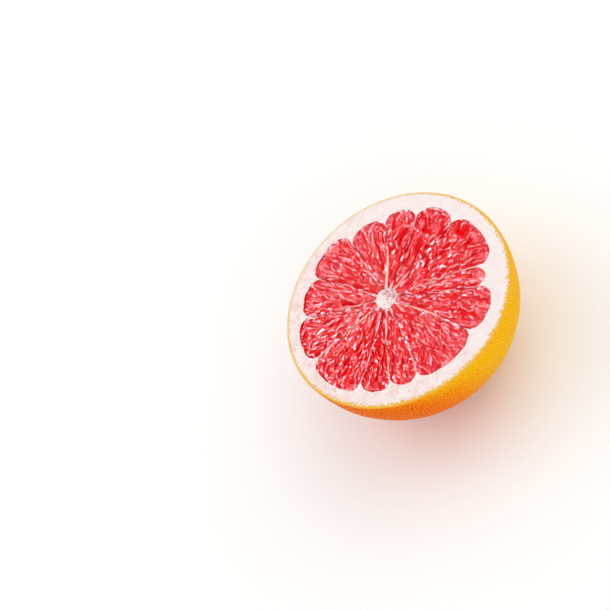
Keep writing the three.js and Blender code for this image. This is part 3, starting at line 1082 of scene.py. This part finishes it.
def peel_tree(material):
    """A node tree that turns the net between the pores into the pitted outside of the peel."""
    tree, given = new_tree("Pitted peel", {
        "Radius": "NodeSocketFloat", "Cut height": "NodeSocketFloat", "Pore depth": "NodeSocketFloat",
        "Pore radius": "NodeSocketFloat", "Scar radius": "NodeSocketFloat"})

    position = add_node(tree, "GeometryNodeInputPosition")
    outward = add_node(tree, "ShaderNodeVectorMath", {"operation": "NORMALIZE"}, {0: position.outputs[0]})
    parts = add_node(tree, "ShaderNodeSeparateXYZ", {}, {0: outward.outputs[0]})
    turn = add_node(tree, "ShaderNodeMath", {"operation": "ARCTAN2"}, {
        0: parts.outputs["Y"], 1: parts.outputs["X"]})
    widen = roundness_nodes(tree, turn.outputs[0])
    scale = add_node(tree, "ShaderNodeCombineXYZ", {}, {"X": widen, "Y": widen, "Z": 1.0})

    pore = add_node(tree, "GeometryNodeInputNamedAttribute", {"data_type": "FLOAT"}, {"Name": "pore"})
    pores = add_node(tree, "GeometryNodeSeparateGeometry", {"domain": "POINT"}, {
        "Geometry": given.outputs["Geometry"], "Selection": pore.outputs["Attribute"]})
    nearest = add_node(tree, "GeometryNodeProximity", {"target_element": "POINTS"}, {
        0: pores.outputs["Selection"]})
    pitting = add_node(tree, "ShaderNodeMapRange", {"interpolation_type": "SMOOTHSTEP"}, {
        "Value": nearest.outputs["Distance"], "From Min": 0.0, "From Max": given.outputs["Pore radius"],
        "To Min": 1.0, "To Max": 0.0})
    stored = add_node(tree, "GeometryNodeStoreNamedAttribute", {"data_type": "FLOAT", "domain": "POINT"}, {
        "Geometry": given.outputs["Geometry"], "Name": "pit", "Value": pitting.outputs[0]})
    pit = add_node(tree, "GeometryNodeInputNamedAttribute", {"data_type": "FLOAT"}, {"Name": "pit"})
    depth = add_node(tree, "ShaderNodeMath", {"operation": "MULTIPLY"}, {
        0: pit.outputs[0], 1: given.outputs["Pore depth"]})
    swell = add_node(tree, "ShaderNodeTexNoise", {}, {
        "Vector": position.outputs[0], "Scale": pattern_scale(SWELL_WIDTH), "Detail": 2.0})
    swelling = add_node(tree, "ShaderNodeMath", {"operation": "MULTIPLY_ADD"}, {
        0: swell.outputs["Fac"], 1: SWELL_RANGE, 2: SWELL_LEVEL})
    level = add_node(tree, "ShaderNodeMath", {"operation": "SUBTRACT"}, {
        0: swelling.outputs[0], 1: depth.outputs[0]})
    reach = add_node(tree, "ShaderNodeMath", {"operation": "ADD"}, {
        0: given.outputs["Radius"], 1: level.outputs[0]})
    ball = add_node(tree, "ShaderNodeVectorMath", {"operation": "SCALE"}, {
        0: outward.outputs[0], "Scale": reach.outputs[0]})
    oval_ball = add_node(tree, "ShaderNodeVectorMath", {"operation": "MULTIPLY"}, {
        0: ball.outputs[0], 1: scale.outputs[0]})
    centre = add_node(tree, "ShaderNodeCombineXYZ", {}, {"Z": given.outputs["Cut height"]})
    raised = add_node(tree, "ShaderNodeVectorMath", {"operation": "ADD"}, {
        0: oval_ball.outputs[0], 1: centre.outputs[0]})
    sides = add_node(tree, "ShaderNodeSeparateXYZ", {}, {0: raised.outputs[0]})
    flat = add_node(tree, "ShaderNodeMath", {"operation": "SMOOTH_MAX"}, {
        0: sides.outputs["Z"], 1: 0.0, 2: REST_BLEND})
    level_place = add_node(tree, "ShaderNodeCombineXYZ", {}, {
        "X": sides.outputs["X"], "Y": sides.outputs["Y"]})
    off_axis = add_node(tree, "ShaderNodeVectorMath", {"operation": "LENGTH"}, {0: level_place.outputs[0]})
    dimple = add_node(tree, "ShaderNodeMapRange", {"interpolation_type": "SMOOTHSTEP"}, {
        "Value": off_axis.outputs["Value"], "From Min": SCAR_MIDDLE, "From Max": given.outputs["Scar radius"],
        "To Min": SCAR_DEPTH, "To Max": 0.0})
    dimpled = add_node(tree, "ShaderNodeMath", {"operation": "ADD"}, {
        0: flat.outputs[0], 1: dimple.outputs[0]})
    rested = add_node(tree, "ShaderNodeCombineXYZ", {}, {
        "X": sides.outputs["X"], "Y": sides.outputs["Y"], "Z": dimpled.outputs[0]})
    pitted = add_node(tree, "GeometryNodeSetPosition", {}, {
        "Geometry": stored.outputs[0], "Position": rested.outputs[0]})
    finish_tree(tree, pitted, material)
    return tree


def grow(name, mesh, tree, values):
    """Runs a node tree on a mesh, and gives back the plain mesh it makes."""
    carrier = bpy.data.objects.new(name, mesh)
    bpy.context.scene.collection.objects.link(carrier)
    modifier = carrier.modifiers.new(name, "NODES")
    modifier.node_group = tree
    for item in tree.interface.items_tree:
        if item.item_type == "SOCKET" and item.in_out == "INPUT" and item.name in values:
            modifier[item.identifier] = values[item.name]
    bpy.context.view_layer.update()
    grown = bpy.data.meshes.new_from_object(carrier.evaluated_get(bpy.context.evaluated_depsgraph_get()))
    carrier.modifiers.remove(modifier)
    bpy.data.objects.remove(carrier)
    grown.name = name
    return grown


def stitch(net, low, high):
    """Joins two rings of points with triangles, each sorted by its angle about the fruit's axis."""
    i = j = 0
    made = []
    while i < len(low) or j < len(high):
        next_low = (i + 1) / len(low)
        next_high = (j + 1) / len(high)
        a, b = low[i % len(low)], high[j % len(high)]
        if j >= len(high) or (i < len(low) and next_low <= next_high):
            made.append(net.faces.new((a, low[(i + 1) % len(low)], b)))
            i += 1
        else:
            made.append(net.faces.new((a, high[(j + 1) % len(high)], b)))
            j += 1
    return made


# The cut edge of the skin, in millimetres. From the outline inwards, it rises from the rim to a shoulder,
# runs level to the line where the skin ends, and goes down into the pith. These are the rim's drop, the
# shoulder's inset, and the heights of the shoulder, the line and the foot over the cut.
RIM_DROP = 0.2
SHOULDER_INSET = 0.22
SHOULDER_HEIGHT = -0.02
EDGE_RISE = 0.03
SKIN_FOOT = -0.9

# The line where the cut skin ends at the pith: how thin the skin is at least, in millimetres, how thick it
# looks on the thin side and how much thicker on the other, as shares of the skin, in which direction that
# is, in radians, and how ragged the line is, and how much more there, in millimetres, in noise with this
# many cells to a radian. A finer noise is laid over it.
THINNEST_SKIN = 0.4
THIN_SHARE = 0.5
THICKER_SHARE = 0.8
THICK_ANGLE = -0.8
RAGGED = 0.2
MORE_RAGGED = 0.3
RAGGED_WAVES = 46.0
FINE_RAGGED = 0.2
FINE_WAVES = 97.0

# The inner wall of the peel: how far behind the skin it lies, and how far behind it the foot of the cut
# edge does, in millimetres, how far under the cut its first ring is, as an angle, and its rings and the
# points in each
WALL_CLEARANCE = 0.15
FOOT_CLEARANCE = 0.1
FIRST_RING = 0.03
WALL_RINGS = 10
WALL_SIDES = 198


def skin_line(angle, skin):
    """How far the cut skin reaches in from the outline, at angles about the fruit's axis."""
    share = 0.5 + 0.5 * np.cos(angle - THICK_ANGLE)
    wave = value_noise(angle * RAGGED_WAVES, angle * 0, 41)
    finer = value_noise(angle * FINE_WAVES, angle * 0, 42)
    line = skin * (THIN_SHARE + THICKER_SHARE * share)
    return np.maximum(THINNEST_SKIN, line + (RAGGED + MORE_RAGGED * share) * wave + FINE_RAGGED * finer)


def close_peel(mesh, size):
    """Adds the cut edge and the inner wall to the peel's outside."""
    net = bmesh.new()
    net.from_mesh(mesh)
    depth = net.verts.layers.float.new("skin_depth")
    rim = [v for v in net.verts if v.is_boundary]
    rim.sort(key=lambda v: math.atan2(v.co.y, v.co.x) % TURN)
    start = math.atan2(rim[0].co.y, rim[0].co.x) % TURN
    radius, skin, cut_height = size.radius / MM, size.skin / MM, size.cut_height / MM

    def ring(angle, inset, height):
        """A ring of points inset from the outline, at a height over the cut."""
        reach = (radius - inset) * roundness(angle)
        place_of = np.broadcast_arrays(reach * np.cos(angle), reach * np.sin(angle), cut_height + height)
        return [net.verts.new(point * MM) for point in np.stack(place_of, axis=-1)]

    for vertex in rim:
        vertex.co.z -= RIM_DROP * MM
    fine = start + TURN * np.arange(2 * len(rim)) / (2 * len(rim))
    shoulder = ring(fine, SHOULDER_INSET, SHOULDER_HEIGHT)
    edge = ring(fine, skin_line(fine, skin), EDGE_RISE)
    below = ring(fine, skin + FOOT_CLEARANCE, SKIN_FOOT)
    cut = stitch(net, rim, shoulder) + stitch(net, shoulder, edge) + stitch(net, edge, below)
    coarse = start + TURN * np.arange(WALL_SIDES) / WALL_SIDES
    inner = radius - skin - WALL_CLEARANCE
    lowest = math.acos((cut_height - skin - WALL_CLEARANCE) / inner)
    previous = below
    for polar in np.linspace(math.pi / 2 - FIRST_RING, lowest, WALL_RINGS):
        next_ring = ring(coarse, radius - inner * math.sin(polar), -inner * math.cos(polar))
        stitch(net, previous, next_ring)
        previous = next_ring
    pole = net.verts.new((0, 0, (skin + WALL_CLEARANCE) * MM))
    for k, vertex in enumerate(previous):
        net.faces.new((vertex, previous[(k + 1) % len(previous)], pole))
    for made in cut:
        made.material_index = 1
    for vertex in edge + below:
        vertex[depth] = 1.0
    bmesh.ops.recalc_face_normals(net, faces=net.faces)
    net.to_mesh(mesh)
    net.free()


# The peel's patterns, in millimetres: the width of the clouds in its colour, of the ragged edge of the scar
# and of the grain of its wax
CLOUD_WIDTH = 35.71
RAG_WIDTH = 1.111
WAX_WIDTH = 0.909

# The blush turns from gold to orange along this direction, where clouds shift it by up to this much,
# between these places, in millimetres. It is held back beside the cut, in a band this wide, by this much.
BLUSH_SIDE = (-0.55, -0.83, -0.3)
BLUSH_CLOUDS = 30.0
BLUSH_FROM = -4.0
BLUSH_TO = 44.0
CUT_BAND = 8.0
CUT_DELAY = 12.0

# The pink comes in on the -X side, between these places in millimetres, where clouds shift it by up to
# this much
PINK_FROM = -34.0
PINK_TO = 4.0
PINK_CLOUDS = 40.0

# The scar, in millimetres: it fades between these distances from the axis, less by up to this much where
# its edge is ragged, and up to this height
SCAR_FROM = 1.8
SCAR_TO = 2.6
SCAR_RAG = 1.2
SCAR_HEIGHT = 2.0


def peel_material(colours):
    """Citrus peel: a waxy skin over oil glands, golden with an orange blush. Each pore is a darker dot."""
    material, tree = new_material("Citrus peel")
    coords = add_node(tree, "ShaderNodeTexCoord")
    pit = add_node(tree, "ShaderNodeAttribute", {"attribute_name": "pit"})
    broad = add_node(tree, "ShaderNodeTexNoise", {}, {
        "Vector": coords.outputs["Object"], "Scale": pattern_scale(CLOUD_WIDTH), "Detail": 3.0})
    blush = add_node(tree, "ShaderNodeVectorMath", {"operation": "DOT_PRODUCT"}, {
        0: coords.outputs["Object"], 1: BLUSH_SIDE})
    mixed = add_node(tree, "ShaderNodeMath", {"operation": "MULTIPLY_ADD"}, {
        0: broad.outputs["Fac"], 1: BLUSH_CLOUDS * MM, 2: blush.outputs["Value"]})
    parts = add_node(tree, "ShaderNodeSeparateXYZ", {}, {0: coords.outputs["Object"]})
    beside_cut = add_node(tree, "ShaderNodeMapRange", {"interpolation_type": "SMOOTHSTEP"}, {
        "Value": parts.outputs["Z"], "From Min": CUT_HEIGHT - CUT_BAND * MM, "From Max": CUT_HEIGHT})
    yellower = add_node(tree, "ShaderNodeMath", {"operation": "MULTIPLY_ADD"}, {
        0: beside_cut.outputs[0], 1: -CUT_DELAY * MM, 2: mixed.outputs[0]})
    to_orange = add_node(tree, "ShaderNodeMapRange", {"interpolation_type": "SMOOTHSTEP"}, {
        "Value": yellower.outputs[0], "From Min": BLUSH_FROM * MM, "From Max": BLUSH_TO * MM})
    orange = add_node(tree, "ShaderNodeMix", {"data_type": "RGBA"}, {
        "Factor": to_orange.outputs[0], MIX_A: colours.peel_yellow, MIX_B: colours.peel_orange})
    ragged_edge = add_node(tree, "ShaderNodeTexNoise", {}, {
        "Vector": coords.outputs["Object"], "Scale": pattern_scale(RAG_WIDTH), "Detail": 2.0})
    uneven = add_node(tree, "ShaderNodeMath", {"operation": "MULTIPLY_ADD"}, {
        0: broad.outputs["Fac"], 1: PINK_CLOUDS * MM, 2: parts.outputs["X"]})
    left = add_node(tree, "ShaderNodeMapRange", {"interpolation_type": "SMOOTHSTEP"}, {
        "Value": uneven.outputs[0], "From Min": PINK_FROM * MM, "From Max": PINK_TO * MM,
        "To Min": 0.8, "To Max": 0.0})
    pinker = add_node(tree, "ShaderNodeMix", {"data_type": "RGBA"}, {
        "Factor": left.outputs[0], MIX_A: orange.outputs[MIXED], MIX_B: colours.peel_pink})
    pore = add_node(tree, "ShaderNodeMapRange", {}, {
        "Value": pit.outputs["Fac"], "From Min": 0.1, "From Max": 0.7, "To Max": 0.95})
    ripe = add_node(tree, "ShaderNodeMath", {"operation": "MULTIPLY_ADD"}, {
        0: to_orange.outputs[0], 1: 0.45, 2: 0.55})
    dots = add_node(tree, "ShaderNodeMath", {"operation": "MULTIPLY"}, {
        0: pore.outputs[0], 1: ripe.outputs[0]})
    pore_colour = add_node(tree, "ShaderNodeMix", {"data_type": "RGBA"}, {
        "Factor": to_orange.outputs[0], MIX_A: colours.pore_yellow, MIX_B: colours.pore})
    dotted = add_node(tree, "ShaderNodeMix", {"data_type": "RGBA"}, {
        "Factor": dots.outputs[0], MIX_A: pinker.outputs[MIXED], MIX_B: pore_colour.outputs[MIXED]})
    low = add_node(tree, "ShaderNodeMapRange", {}, {
        "Value": parts.outputs["Z"], "From Min": 0.0, "From Max": SCAR_HEIGHT * MM,
        "To Min": 1.0, "To Max": 0.0})
    level = add_node(tree, "ShaderNodeCombineXYZ", {}, {"X": parts.outputs["X"], "Y": parts.outputs["Y"]})
    off_axis = add_node(tree, "ShaderNodeVectorMath", {"operation": "LENGTH"}, {0: level.outputs[0]})
    ragged = add_node(tree, "ShaderNodeMath", {"operation": "MULTIPLY_ADD"}, {
        0: ragged_edge.outputs["Fac"], 1: SCAR_RAG * MM, 2: off_axis.outputs["Value"]})
    corky = add_node(tree, "ShaderNodeMapRange", {"interpolation_type": "SMOOTHSTEP"}, {
        "Value": ragged.outputs[0], "From Min": SCAR_FROM * MM, "From Max": SCAR_TO * MM,
        "To Min": 0.9, "To Max": 0.0})
    scarred = add_node(tree, "ShaderNodeMath", {"operation": "MULTIPLY"}, {
        0: corky.outputs[0], 1: low.outputs[0]})
    coloured = add_node(tree, "ShaderNodeMix", {"data_type": "RGBA"}, {
        "Factor": scarred.outputs[0], MIX_A: dotted.outputs[MIXED], MIX_B: colours.scar})
    fine = add_node(tree, "ShaderNodeTexNoise", {}, {
        "Vector": coords.outputs["Object"], "Scale": pattern_scale(WAX_WIDTH), "Detail": 2.0})
    bump = add_node(tree, "ShaderNodeBump", {}, {
        "Height": fine.outputs["Fac"], "Strength": 0.25, "Distance": 0.0001})
    shader = add_node(tree, "ShaderNodeBsdfPrincipled", {"subsurface_method": "RANDOM_WALK"}, {
        "Base Color": coloured.outputs[MIXED], "Roughness": 0.4, "Specular IOR Level": 0.015,
        "Normal": bump.outputs[0], "Subsurface Weight": 0.06, "Subsurface Radius": (1.0, 0.4, 0.05),
        "Subsurface Scale": 0.001})
    finish_material(tree, shader)
    return material


# The cut skin's pattern: the width of its cells, in millimetres. It is paler on one side of the fruit: in
# which direction, and between which places along it, in millimetres.
CUT_CELL_WIDTH = 1.111
PALE_SIDE = (-0.75, 0.66, 0.0)
PALE_FROM = -10.0
PALE_TO = 50.0


def skin_edge_material(name, outer, inner, pale_colour):
    """Cut citrus skin or a cut oil gland: moist and yellow, paler towards the pith and on the far side."""
    material, tree = new_material(name)
    coords = add_node(tree, "ShaderNodeTexCoord")
    cells = add_node(tree, "ShaderNodeTexVoronoi", {}, {
        "Vector": coords.outputs["Object"], "Scale": pattern_scale(CUT_CELL_WIDTH)})
    tint = add_node(tree, "ShaderNodeMapRange", {}, {
        "Value": cells.outputs["Distance"], "From Min": 0.1, "From Max": 0.6, "To Max": 0.12})
    toward = add_node(tree, "ShaderNodeVectorMath", {"operation": "DOT_PRODUCT"}, {
        0: coords.outputs["Object"], 1: PALE_SIDE})
    far = add_node(tree, "ShaderNodeMapRange", {"interpolation_type": "SMOOTHSTEP"}, {
        "Value": toward.outputs["Value"], "From Min": PALE_FROM * MM, "From Max": PALE_TO * MM,
        "To Max": 0.5})
    pale = add_node(tree, "ShaderNodeMath", {"operation": "ADD", "use_clamp": True}, {
        0: tint.outputs[0], 1: far.outputs[0]})
    depth = add_node(tree, "ShaderNodeAttribute", {"attribute_name": "skin_depth"})
    inward = add_node(tree, "ShaderNodeMix", {"data_type": "RGBA"}, {
        "Factor": depth.outputs["Fac"], MIX_A: outer, MIX_B: inner})
    edge = add_node(tree, "ShaderNodeMix", {"data_type": "RGBA"}, {
        "Factor": pale.outputs[0], MIX_A: inward.outputs[MIXED], MIX_B: pale_colour})
    shader = add_node(tree, "ShaderNodeBsdfPrincipled", {"subsurface_method": "RANDOM_WALK"}, {
        "Base Color": edge.outputs[MIXED], "Roughness": 0.5, "Specular IOR Level": 0.15,
        "Subsurface Weight": 0.05, "Subsurface Radius": (1.0, 0.6, 0.2), "Subsurface Scale": 0.0008})
    finish_material(tree, shader)
    return material


# The opened oil glands: how many there are to a gland's width of the cut, how far they stray along it, as
# a share of their spacing, and how far in from the outline they lie, as shares of the skin
GLAND_CROWDING = 0.62
GLAND_STRAY = 0.45
GLAND_WAYS = (0.75, 1.5)

# They are larger and lie further in on one side: how much, and in which direction
GLAND_GROWTH = 0.45
GLAND_ANGLE = -0.75

# Their width as a share of the usual one, their breadth and their height as shares of their width, and how
# far under the cut their middles lie, in metres
GLAND_WIDTHS = (0.55, 1.1)
GLAND_BREADTHS = (0.7, 1.3)
GLAND_HEIGHT = 0.4
GLAND_DEPTH = 0.00006


def gland_draw(tree, given, limits, shift):
    """A random number for each gland, from nodes. Each draw has a shift of its own to the seed."""
    seed = add_node(tree, "ShaderNodeMath", {"operation": "ADD"}, {0: given.outputs["Seed"], 1: shift})
    draw = add_node(tree, "FunctionNodeRandomValue", {"data_type": "FLOAT"}, {
        2: limits[0], 3: limits[1], "Seed": seed.outputs[0]})
    return draw.outputs[1]


def gland_tree(material):
    """A node tree that lays opened oil glands along the cut edge of the skin."""
    tree, given = new_tree("Oil glands", {
        "Radius": "NodeSocketFloat", "Cut height": "NodeSocketFloat", "Skin": "NodeSocketFloat",
        "Gland size": "NodeSocketFloat", "Count": "NodeSocketInt", "Seed": "NodeSocketInt"})

    number = add_node(tree, "GeometryNodeInputIndex")
    strayed = add_node(tree, "ShaderNodeMath", {"operation": "ADD"}, {
        0: number.outputs[0], 1: gland_draw(tree, given, (-GLAND_STRAY, GLAND_STRAY), 1)})
    way_round = add_node(tree, "ShaderNodeMath", {"operation": "DIVIDE"}, {
        0: strayed.outputs[0], 1: given.outputs["Count"]})
    angle = add_node(tree, "ShaderNodeMath", {"operation": "MULTIPLY"}, {0: way_round.outputs[0], 1: TURN})
    turned = add_node(tree, "ShaderNodeMath", {"operation": "SUBTRACT"}, {
        0: angle.outputs[0], 1: GLAND_ANGLE})
    nearness = add_node(tree, "ShaderNodeMath", {"operation": "COSINE"}, {0: turned.outputs[0]})
    growth = add_node(tree, "ShaderNodeMath", {"operation": "MULTIPLY_ADD"}, {
        0: nearness.outputs[0], 1: GLAND_GROWTH, 2: 1.0})

    inward = add_node(tree, "ShaderNodeMath", {"operation": "MULTIPLY"}, {
        0: gland_draw(tree, given, GLAND_WAYS, 2), 1: growth.outputs[0]})
    inset = add_node(tree, "ShaderNodeMath", {"operation": "MULTIPLY"}, {
        0: inward.outputs[0], 1: given.outputs["Skin"]})
    round_reach = add_node(tree, "ShaderNodeMath", {"operation": "SUBTRACT"}, {
        0: given.outputs["Radius"], 1: inset.outputs[0]})
    reach = add_node(tree, "ShaderNodeMath", {"operation": "MULTIPLY"}, {
        0: round_reach.outputs[0], 1: roundness_nodes(tree, angle.outputs[0])})
    cosine = add_node(tree, "ShaderNodeMath", {"operation": "COSINE"}, {0: angle.outputs[0]})
    sine = add_node(tree, "ShaderNodeMath", {"operation": "SINE"}, {0: angle.outputs[0]})
    along_x = add_node(tree, "ShaderNodeMath", {"operation": "MULTIPLY"}, {
        0: reach.outputs[0], 1: cosine.outputs[0]})
    along_y = add_node(tree, "ShaderNodeMath", {"operation": "MULTIPLY"}, {
        0: reach.outputs[0], 1: sine.outputs[0]})
    height = add_node(tree, "ShaderNodeMath", {"operation": "SUBTRACT"}, {
        0: given.outputs["Cut height"], 1: GLAND_DEPTH})
    spot = add_node(tree, "ShaderNodeCombineXYZ", {}, {
        "X": along_x.outputs[0], "Y": along_y.outputs[0], "Z": height.outputs[0]})
    points = add_node(tree, "GeometryNodePoints", {}, {
        "Count": given.outputs["Count"], "Position": spot.outputs[0]})

    ball = add_node(tree, "GeometryNodeMeshUVSphere", {}, {"Segments": 8, "Rings": 5, "Radius": 0.5})
    usual = add_node(tree, "ShaderNodeMath", {"operation": "MULTIPLY"}, {
        0: gland_draw(tree, given, GLAND_WIDTHS, 3), 1: given.outputs["Gland size"]})
    width = add_node(tree, "ShaderNodeMath", {"operation": "MULTIPLY"}, {
        0: usual.outputs[0], 1: growth.outputs[0]})
    breadth = add_node(tree, "ShaderNodeMath", {"operation": "MULTIPLY"}, {
        0: width.outputs[0], 1: gland_draw(tree, given, GLAND_BREADTHS, 4)})
    thickness = add_node(tree, "ShaderNodeMath", {"operation": "MULTIPLY"}, {
        0: width.outputs[0], 1: GLAND_HEIGHT})
    scale = add_node(tree, "ShaderNodeCombineXYZ", {}, {
        "X": width.outputs[0], "Y": breadth.outputs[0], "Z": thickness.outputs[0]})
    turn = add_node(tree, "ShaderNodeCombineXYZ", {}, {"Z": angle.outputs[0]})
    glands = add_node(tree, "GeometryNodeInstanceOnPoints", {}, {
        "Points": points.outputs[0], "Instance": ball.outputs[0], "Rotation": turn.outputs[0],
        "Scale": scale.outputs[0]})
    finish_tree(tree, glands, material)
    return tree


class POMELO_OT_glands(bpy.types.Operator):
    """Lays the opened oil glands along the cut edge of the skin"""

    bl_idname = "pomelo.glands"
    bl_label = "Oil glands"

    def execute(self, context):
        size, colours = context.scene.pomelo_sizes, context.scene.pomelo_colours
        material = skin_edge_material("Cut oil glands", colours.gland, colours.gland, colours.skin_pale)
        tree = gland_tree(material)
        count = round(TURN * size.radius / size.gland_size * GLAND_CROWDING)
        mesh = grow("oil_glands", bpy.data.meshes.new("rim"), tree, {
            "Radius": size.radius, "Cut height": size.cut_height, "Skin": size.skin,
            "Gland size": size.gland_size, "Count": count, "Seed": size.seed})
        place(mesh, None, [])
        return {"FINISHED"}


class POMELO_OT_peel(bpy.types.Operator):
    """Builds the peel with its pits, its cut edge and its inner wall"""

    bl_idname = "pomelo.peel"
    bl_label = "Peel"

    def execute(self, context):
        size, colours = context.scene.pomelo_sizes, context.scene.pomelo_colours
        skeleton = skeleton_mesh(size, np.random.default_rng(size.seed))
        tree = peel_tree(peel_material(colours))
        mesh = grow("peel_with_pores", skeleton, tree, {
            "Radius": size.radius, "Cut height": size.cut_height, "Pore depth": size.pore_depth,
            "Pore radius": PIT_SHARE * size.pore_spacing, "Scar radius": size.scar_radius})
        mesh.materials.append(skin_edge_material(
            "Cut citrus skin", colours.skin_edge, colours.skin_inner, colours.skin_pale))
        close_peel(mesh, size)
        place(mesh, None, ["peel"])
        return {"FINISHED"}


def face_camera(azimuth, elevation):
    """The camera's right, up and back vectors, level, for an azimuth from the front and an elevation."""
    a, e = math.radians(azimuth), math.radians(elevation)
    right = Vector((math.cos(a), math.sin(a), 0))
    up = Vector((-math.sin(a) * math.sin(e), math.cos(a) * math.sin(e), math.cos(e)))
    return right, up, right.cross(up)


class POMELO_OT_stage(bpy.types.Operator):
    """Lays the pale floor, and sets the camera and the soft lights"""

    bl_idname = "pomelo.stage"
    bl_label = "Stage"

    # The frame and the place and radius of the cut face in it, in pixels of the photograph, and the angles
    # that the camera stands and rolls at, in degrees
    frame_width = 610
    face_x, face_y, face_radius = 397.0, 298.6, 122.3
    azimuth, elevation, roll = 43.6, 50.8, 43.6

    # In metres, but for the sensor, which is in millimetres
    distance = 1.15
    sensor = 36.0
    half_floor = 3.0

    # The width of the waves in the board, in millimetres
    board_wave = 16.67

    # What the lights point at, as a share of the height of the cut
    aim_share = 0.7

    # The lamps that light nothing and are only mirrored are a little lilac
    white = (1.0, 1.0, 1.0)
    lilac = (1.0, 0.93, 1.0)
    room_strength = 0.82

    def execute(self, context):
        size, colours = context.scene.pomelo_sizes, context.scene.pomelo_colours
        scene = context.scene
        mesh = bpy.data.meshes.new("floor")
        half = self.half_floor
        corners = [(-half, -half, 0), (half, -half, 0), (half, half, 0), (-half, half, 0)]
        mesh.from_pydata(corners, [], [(0, 1, 2, 3)])
        floor = bpy.data.objects.new("floor", mesh)
        scene.collection.objects.link(floor)
        floor.data.materials.append(self.floor_material(colours))
        self.add_camera(scene, size)
        self.add_lights(scene, size)
        return {"FINISHED"}

    def floor_material(self, colours):
        """Painted board: matt and pale, with a faint unevenness."""
        material, tree = new_material("Matt board")
        coords = add_node(tree, "ShaderNodeTexCoord")
        noise = add_node(tree, "ShaderNodeTexNoise", {}, {
            "Vector": coords.outputs["Object"], "Scale": pattern_scale(self.board_wave)})
        bump = add_node(tree, "ShaderNodeBump", {}, {
            "Height": noise.outputs["Fac"], "Strength": 0.03, "Distance": 0.001})
        shader = add_node(tree, "ShaderNodeBsdfPrincipled", {}, {
            "Base Color": colours.floor, "Roughness": 0.8, "Normal": bump.outputs[0]})
        finish_material(tree, shader)
        return material

    def add_camera(self, scene, size):
        """Sets the camera so that the cut face stands in the frame as in the photograph."""
        right0, up0, back = face_camera(self.azimuth, self.elevation)
        turn = math.radians(self.roll)
        right = math.cos(turn) * right0 - math.sin(turn) * up0
        up = math.sin(turn) * right0 + math.cos(turn) * up0
        per_metre = self.face_radius / size.radius
        middle = self.frame_width / 2
        target = Vector((0, 0, size.cut_height))
        target -= right * (self.face_x - middle) / per_metre
        target -= up * (middle - self.face_y) / per_metre
        data = bpy.data.cameras.new("camera")
        data.sensor_width = self.sensor
        data.lens = per_metre * self.distance * self.sensor / self.frame_width
        camera = bpy.data.objects.new("camera", data)
        camera.matrix_world = Matrix((right, up, back)).transposed().to_4x4()
        camera.location = target + back * self.distance
        scene.collection.objects.link(camera)
        scene.camera = camera

    def add_lights(self, scene, size):
        """Sets the soft lamps, and a white room about them that wet surfaces don't mirror."""
        focus = Vector((0, 0, size.cut_height * self.aim_share))
        # Name, place, width and power, whether it lights matt surfaces, and whether wet ones mirror it
        for name, place_at, side, power, matt, mirrored in (
            ("key", (0.55, 0.65, 1.1), 1.4, 3.55, True, False),
            ("fill_front", (0.9, -0.9, 0.5), 1.4, 3.25, True, True),
            ("fill_left", (-0.9, 0.0, 1.0), 1.4, 2.9, True, False),
            ("glint_middle", (-0.55, 0.57, 0.97), 0.3, 0.6, False, True),
            ("glint_left", (-0.95, 0.2, 0.9), 0.24, 4.0, False, True),
            ("glint_back", (-0.02, 0.9, 1.0), 0.24, 4.0, False, True),
            ("glint_top", (-0.2, 0.2, 1.22), 0.24, 4.0, False, True),
            ("glint_low", (-0.8, 0.75, 0.6), 0.24, 4.0, False, True),
            ("glint_side", (-0.6, 0.1, 1.12), 0.24, 4.0, False, True),
        ):
            data = bpy.data.lights.new(name, "AREA")
            data.shape = "DISK"
            data.size = side
            data.energy = power
            data.color = self.white if matt else self.lilac
            lamp = bpy.data.objects.new(name, data)
            lamp.location = place_at
            lamp.rotation_mode = "QUATERNION"
            lamp.rotation_quaternion = (focus - Vector(place_at)).to_track_quat("-Z", "Y")
            lamp.visible_diffuse = matt
            lamp.visible_glossy = mirrored
            scene.collection.objects.link(lamp)
        world = bpy.data.worlds.new("room")
        world.use_nodes = True
        background = world.node_tree.nodes["Background"]
        background.inputs["Color"].default_value = (*self.white, 1.0)
        background.inputs["Strength"].default_value = self.room_strength
        world.cycles_visibility.glossy = False
        scene.world = world
        scene.view_settings.view_transform = "Standard"


class POMELO_PT_panel(bpy.types.Panel):
    """Lists the pieces of the pomelo and their sizes and colours"""

    bl_idname = "POMELO_PT_panel"
    bl_label = "Halved pomelo"
    bl_space_type = "VIEW_3D"
    bl_region_type = "UI"
    bl_category = "Pomelo"

    def draw(self, context):
        for operator in PIECES:
            self.layout.operator(operator.bl_idname)
        for group in (context.scene.pomelo_sizes, context.scene.pomelo_colours):
            for key in group.__annotations__:
                self.layout.prop(group, key)


PIECES = (POMELO_OT_stage, POMELO_OT_peel, POMELO_OT_glands, POMELO_OT_pith, POMELO_OT_pulp)
CLASSES = (PomeloSizes, PomeloColours, *PIECES, POMELO_PT_panel)


def register():
    for cls in CLASSES:
        bpy.utils.register_class(cls)
    bpy.types.Scene.pomelo_sizes = bpy.props.PointerProperty(type=PomeloSizes)
    bpy.types.Scene.pomelo_colours = bpy.props.PointerProperty(type=PomeloColours)


def unregister():
    del bpy.types.Scene.pomelo_colours
    del bpy.types.Scene.pomelo_sizes
    for cls in reversed(CLASSES):
        bpy.utils.unregister_class(cls)


def main():
    register()
    bpy.ops.pomelo.stage()
    bpy.ops.pomelo.peel()
    bpy.ops.pomelo.glands()
    bpy.ops.pomelo.pith()
    bpy.ops.pomelo.pulp()


if __name__ == "__main__":
    main()
